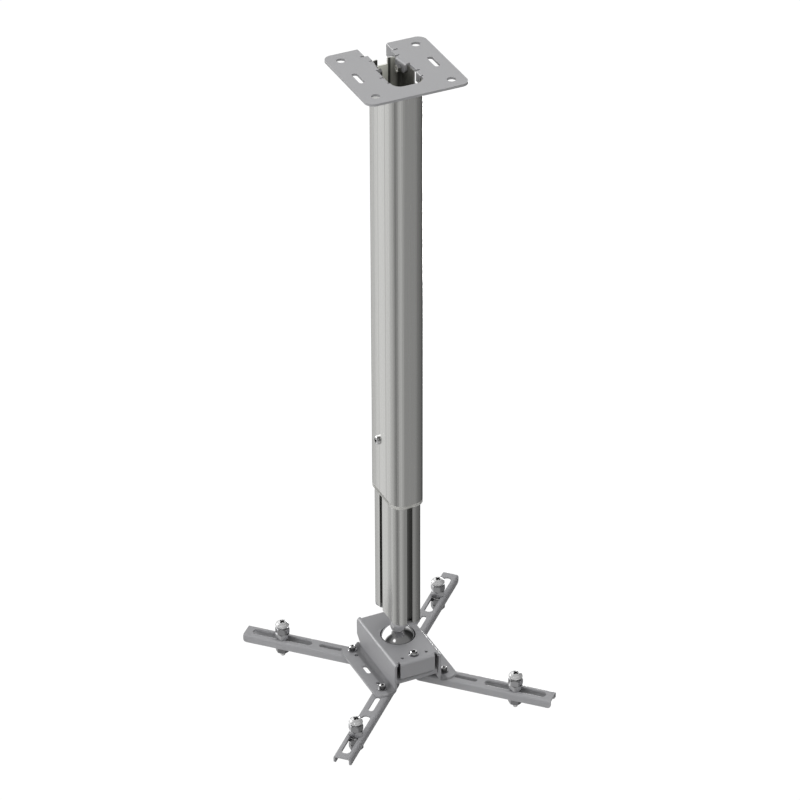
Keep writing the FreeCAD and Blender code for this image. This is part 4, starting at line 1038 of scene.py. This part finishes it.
class MOUNT_OT_columns(bpy.types.Operator):
    """Soften both columns, the ring between them, the foot and the lock screw"""
    bl_idname = "mount.columns"
    bl_label = "Columns"

    def execute(self, context):
        edge = context.scene.mount_sizes.tube_edge
        softened("outer_column", edge, "outer_tube", merged=False)
        softened("inner_column", edge, "inner_tube", radius=INNER_RADIUS)
        softened("end_ring", edge, "ring", radius=OUTER_RADIUS)
        softened("column_foot", edge, "bracket", radius=INNER_RADIUS)
        softened("inner_glide", edge, "plastic")
        centre = middle("lock_screw")
        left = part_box("outer_column")[0][0]
        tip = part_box("lock_screw")[1][0]
        screw = screw_mesh("lock_screw_mesh", length=tip - left, **LOCK_SCREW)
        sideways = Matrix.Rotation(-math.pi / 2, 4, "Y") @ Matrix.Rotation(math.radians(20), 4, "Z")
        fastener("lock_screw", screw, upright(left, centre.y, centre.z) @ sideways, "plating")
        return {"FINISHED"}


class MOUNT_OT_ball_joint(bpy.types.Operator):
    """Turn the ball stud, soften the liner and give the stud's nut its finish"""
    bl_idname = "mount.ball_joint"
    bl_label = "Ball joint"

    def execute(self, context):
        low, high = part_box("ball_stud")
        radius = (high[0] - low[0]) / 2
        centre = low[2] + radius
        sweep = math.pi - math.asin(NECK_RADIUS / radius)
        steps = 48
        profile = [(0, centre - radius)]
        for step in range(1, steps + 1):
            angle = sweep * step / steps
            profile.append((radius * math.sin(angle), centre - radius * math.cos(angle)))
        running_gap = 0.05 * MM
        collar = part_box("column_foot")[0][2] - running_gap
        bevel = 0.3 * MM
        end_bevel = 0.8 * MM
        profile += [
            (NECK_RADIUS, profile[-1][1] + 0.4 * MM), (NECK_RADIUS, collar - bevel),
            (NECK_RADIUS - bevel, collar), (STUD_THREAD_RADIUS, collar),
            (STUD_THREAD_RADIUS, high[2] - end_bevel), (STUD_THREAD_RADIUS - end_bevel, high[2]),
            (0, high[2]),
        ]
        fastener("ball_stud", smooth(lathe("ball_stud_mesh", profile, 96), 40), Matrix(), "plating")
        softened("ball_liner", 0.12 * MM, "plastic")
        dress(frame["nodes"]["stud_nut"].data, finishes["dull_shaded_plating"])
        return {"FINISHED"}


class MOUNT_OT_bracket(bpy.types.Operator):
    """Soften the folded housing and the clamp plate, and add their screws"""
    bl_idname = "mount.bracket"
    bl_label = "Bracket"

    def execute(self, context):
        edge = context.scene.mount_sizes.sheet_edge
        softened("bracket_housing", edge, "housing", extra=back_corner_fillers())
        softened("clamp_plate", edge, "bracket")
        centre = middle("clamp_screw")
        low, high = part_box("clamp_washer")
        seat = high[2]
        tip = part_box("clamp_screw")[0][2]
        screw = screw_mesh("clamp_screw_mesh", length=seat - tip, **CLAMP_SCREW)
        fastener("clamp_screw", screw, upright(centre.x, centre.y, seat, math.radians(15)), "plating")
        ring = washer_mesh("clamp_washer_mesh", high[0] - low[0], high[2] - low[2],
                           CLAMP_SCREW["thread"] + WASHER_PLAY)
        fastener("clamp_washer", ring, upright(centre.x, centre.y, low[2]), "dull_shaded_plating")
        low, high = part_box("clamp_nut")
        nut = nut_mesh("clamp_nut_mesh", high[1] - low[1], high[2] - low[2],
                       CLAMP_SCREW["thread"] + NUT_PLAY)
        fastener("clamp_nut", nut, upright(centre.x, centre.y, low[2]), "dull_shaded_plating")
        return {"FINISHED"}


class MOUNT_OT_pivots(bpy.types.Operator):
    """Set the four pivot screws, washers and nuts on their rectangle"""
    bl_idname = "mount.pivots"
    bl_label = "Pivots"

    def execute(self, context):
        tree = repeat_tree("fasteners_on_a_rectangle", "grid")
        low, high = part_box("pivot_washers")
        seat = high[2]
        centre = middle("pivot_washers")
        rectangle = {"Width": high[0] - low[0] - PIVOT_WASHER, "Depth": high[1] - low[1] - PIVOT_WASHER}
        washer = washer_mesh("pivot_washer_mesh", PIVOT_WASHER, seat - low[2],
                             PIVOT_SCREW["thread"] + WASHER_PLAY)
        repeated("pivot_washers_piece", tree, washer, "dull_shaded_plating", "pivot_washers",
                 Place=(centre.x, centre.y, low[2]), Turn=0.0, First_Turn=0.0, **rectangle)
        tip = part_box("pivot_screws")[0][2]
        screw = screw_mesh("pivot_screw_mesh", length=seat - tip, **PIVOT_SCREW)
        repeated("pivot_screws_piece", tree, screw, "pivot_plating", "pivot_screws",
                 Place=(centre.x, centre.y, seat), Turn=0.5, First_Turn=0.35, **rectangle)
        low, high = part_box("pivot_nuts")
        nut = nut_mesh("pivot_nut_mesh", PIVOT_NUT_FLATS, high[2] - low[2],
                       PIVOT_SCREW["thread"] + NUT_PLAY)
        repeated("pivot_nuts_piece", tree, nut, "dull_shaded_plating", "pivot_nuts",
                 Place=(centre.x, centre.y, low[2]), Turn=0.3, First_Turn=0.1, **rectangle)
        return {"FINISHED"}


class MOUNT_OT_arms(bpy.types.Operator):
    """Soften the four slotted arms"""
    bl_idname = "mount.arms"
    bl_label = "Arms"

    def execute(self, context):
        for arm in ARMS:
            softened(f"arm_{arm}", context.scene.mount_sizes.sheet_edge, "bracket")
        return {"FINISHED"}


class MOUNT_OT_fixings(bpy.types.Operator):
    """Make the hollow bolts, projector screws, nuts and washers on the arms"""
    bl_idname = "mount.fixings"
    bl_label = "Fixings"

    def execute(self, context):
        stack = repeat_tree("nuts_on_a_bolt", "stack")
        heading = math.radians(25)
        turn = math.radians(30)  # of the upper nuts against each other and against the lower ones
        middle_flat = 0.5 * MM
        dome = dome_arc(BOLT_HEAD / 2, BOLT_HEAD_HEIGHT - BOLT_SINK_DEPTH, PROJECTOR_SCREW["head"] / 2,
                        middle_flat)
        for number, arm in enumerate(ARMS):
            bolt, screw = f"hollow_bolt_{arm}", f"projector_screw_{arm}"
            nuts, washer = f"bolt_nuts_{arm}", f"bolt_washer_{arm}"
            x, y = middle(bolt)[:2]
            low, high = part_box(bolt)
            seat = high[2] - BOLT_HEAD_HEIGHT
            fastener(bolt, hollow_bolt_mesh(seat - low[2]), upright(x, y, seat), "head_plating")
            screw_seat = high[2] - BOLT_SINK_DEPTH
            mesh = screw_mesh("projector_screw_mesh", length=screw_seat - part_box(screw)[0][2], dome=dome,
                              **PROJECTOR_SCREW)
            fastener(screw, mesh, upright(x, y, screw_seat, 0.35 + 0.1 * number), "head_plating")
            nut = nut_mesh("bolt_nut_mesh", BOLT_NUT_FLATS, BOLT_NUT_HEIGHT, BOLT_THREAD + NUT_PLAY)
            low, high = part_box(washer)
            arm_top = seat - BOLT_HEAD_GAP - 2 * BOLT_NUT_HEIGHT
            pair = {"Count": 2, "Step": BOLT_NUT_HEIGHT}
            repeated(f"{nuts}_below", stack, nut, "dull_shaded_plating", nuts,
                     Place=(x, y, low[2] - 2 * BOLT_NUT_HEIGHT), Turn=0.0, First_Turn=heading, **pair)
            repeated(f"{nuts}_above", stack, nut, "nut_plating", nuts,
                     Place=(x, y, arm_top), Turn=-turn, First_Turn=heading + turn, **pair)
            ring = washer_mesh("bolt_washer_mesh", BOLT_WASHER, high[2] - low[2],
                               BOLT_THREAD + WASHER_PLAY)
            fastener(washer, ring, upright(x, y, low[2]), "plating")
        return {"FINISHED"}


class MOUNT_OT_stage(bpy.types.Operator):
    """Set up the pale floor, the studio light and the camera"""
    bl_idname = "mount.stage"
    bl_label = "Stage"

    def execute(self, context):
        make_floor()
        make_reflections()
        make_lights()
        make_camera()
        return {"FINISHED"}


class MOUNT_PT_panel(bpy.types.Panel):
    """Lists the mount's pieces in the sidebar"""
    bl_idname = "MOUNT_PT_panel"
    bl_label = "Ceiling mount"
    bl_space_type = "VIEW_3D"
    bl_region_type = "UI"
    bl_category = "Ceiling Mount"

    def draw(self, context):
        for group in (context.scene.mount_sizes, context.scene.mount_colours):
            for name in group.__annotations__:
                self.layout.prop(group, name)
        for operator in OPERATORS:
            self.layout.operator(operator.bl_idname)


OPERATORS = (MOUNT_OT_finishes, MOUNT_OT_ceiling_plate, MOUNT_OT_columns, MOUNT_OT_ball_joint,
             MOUNT_OT_bracket, MOUNT_OT_pivots, MOUNT_OT_arms, MOUNT_OT_fixings, MOUNT_OT_stage)
CLASSES = (MountSizes, MountColours) + OPERATORS + (MOUNT_PT_panel,)


def register():
    for item in CLASSES:
        bpy.utils.register_class(item)
    bpy.types.Scene.mount_sizes = bpy.props.PointerProperty(type=MountSizes)
    bpy.types.Scene.mount_colours = bpy.props.PointerProperty(type=MountColours)


def unregister():
    del bpy.types.Scene.mount_colours
    del bpy.types.Scene.mount_sizes
    for item in reversed(CLASSES):
        bpy.utils.unregister_class(item)


def main():
    """Registers the add-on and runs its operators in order."""
    register()
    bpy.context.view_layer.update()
    bpy.ops.mount.finishes()
    bpy.ops.mount.ceiling_plate()
    bpy.ops.mount.columns()
    bpy.ops.mount.ball_joint()
    bpy.ops.mount.bracket()
    bpy.ops.mount.pivots()
    bpy.ops.mount.arms()
    bpy.ops.mount.fixings()
    bpy.ops.mount.stage()


if __name__ == "__main__":
    main()
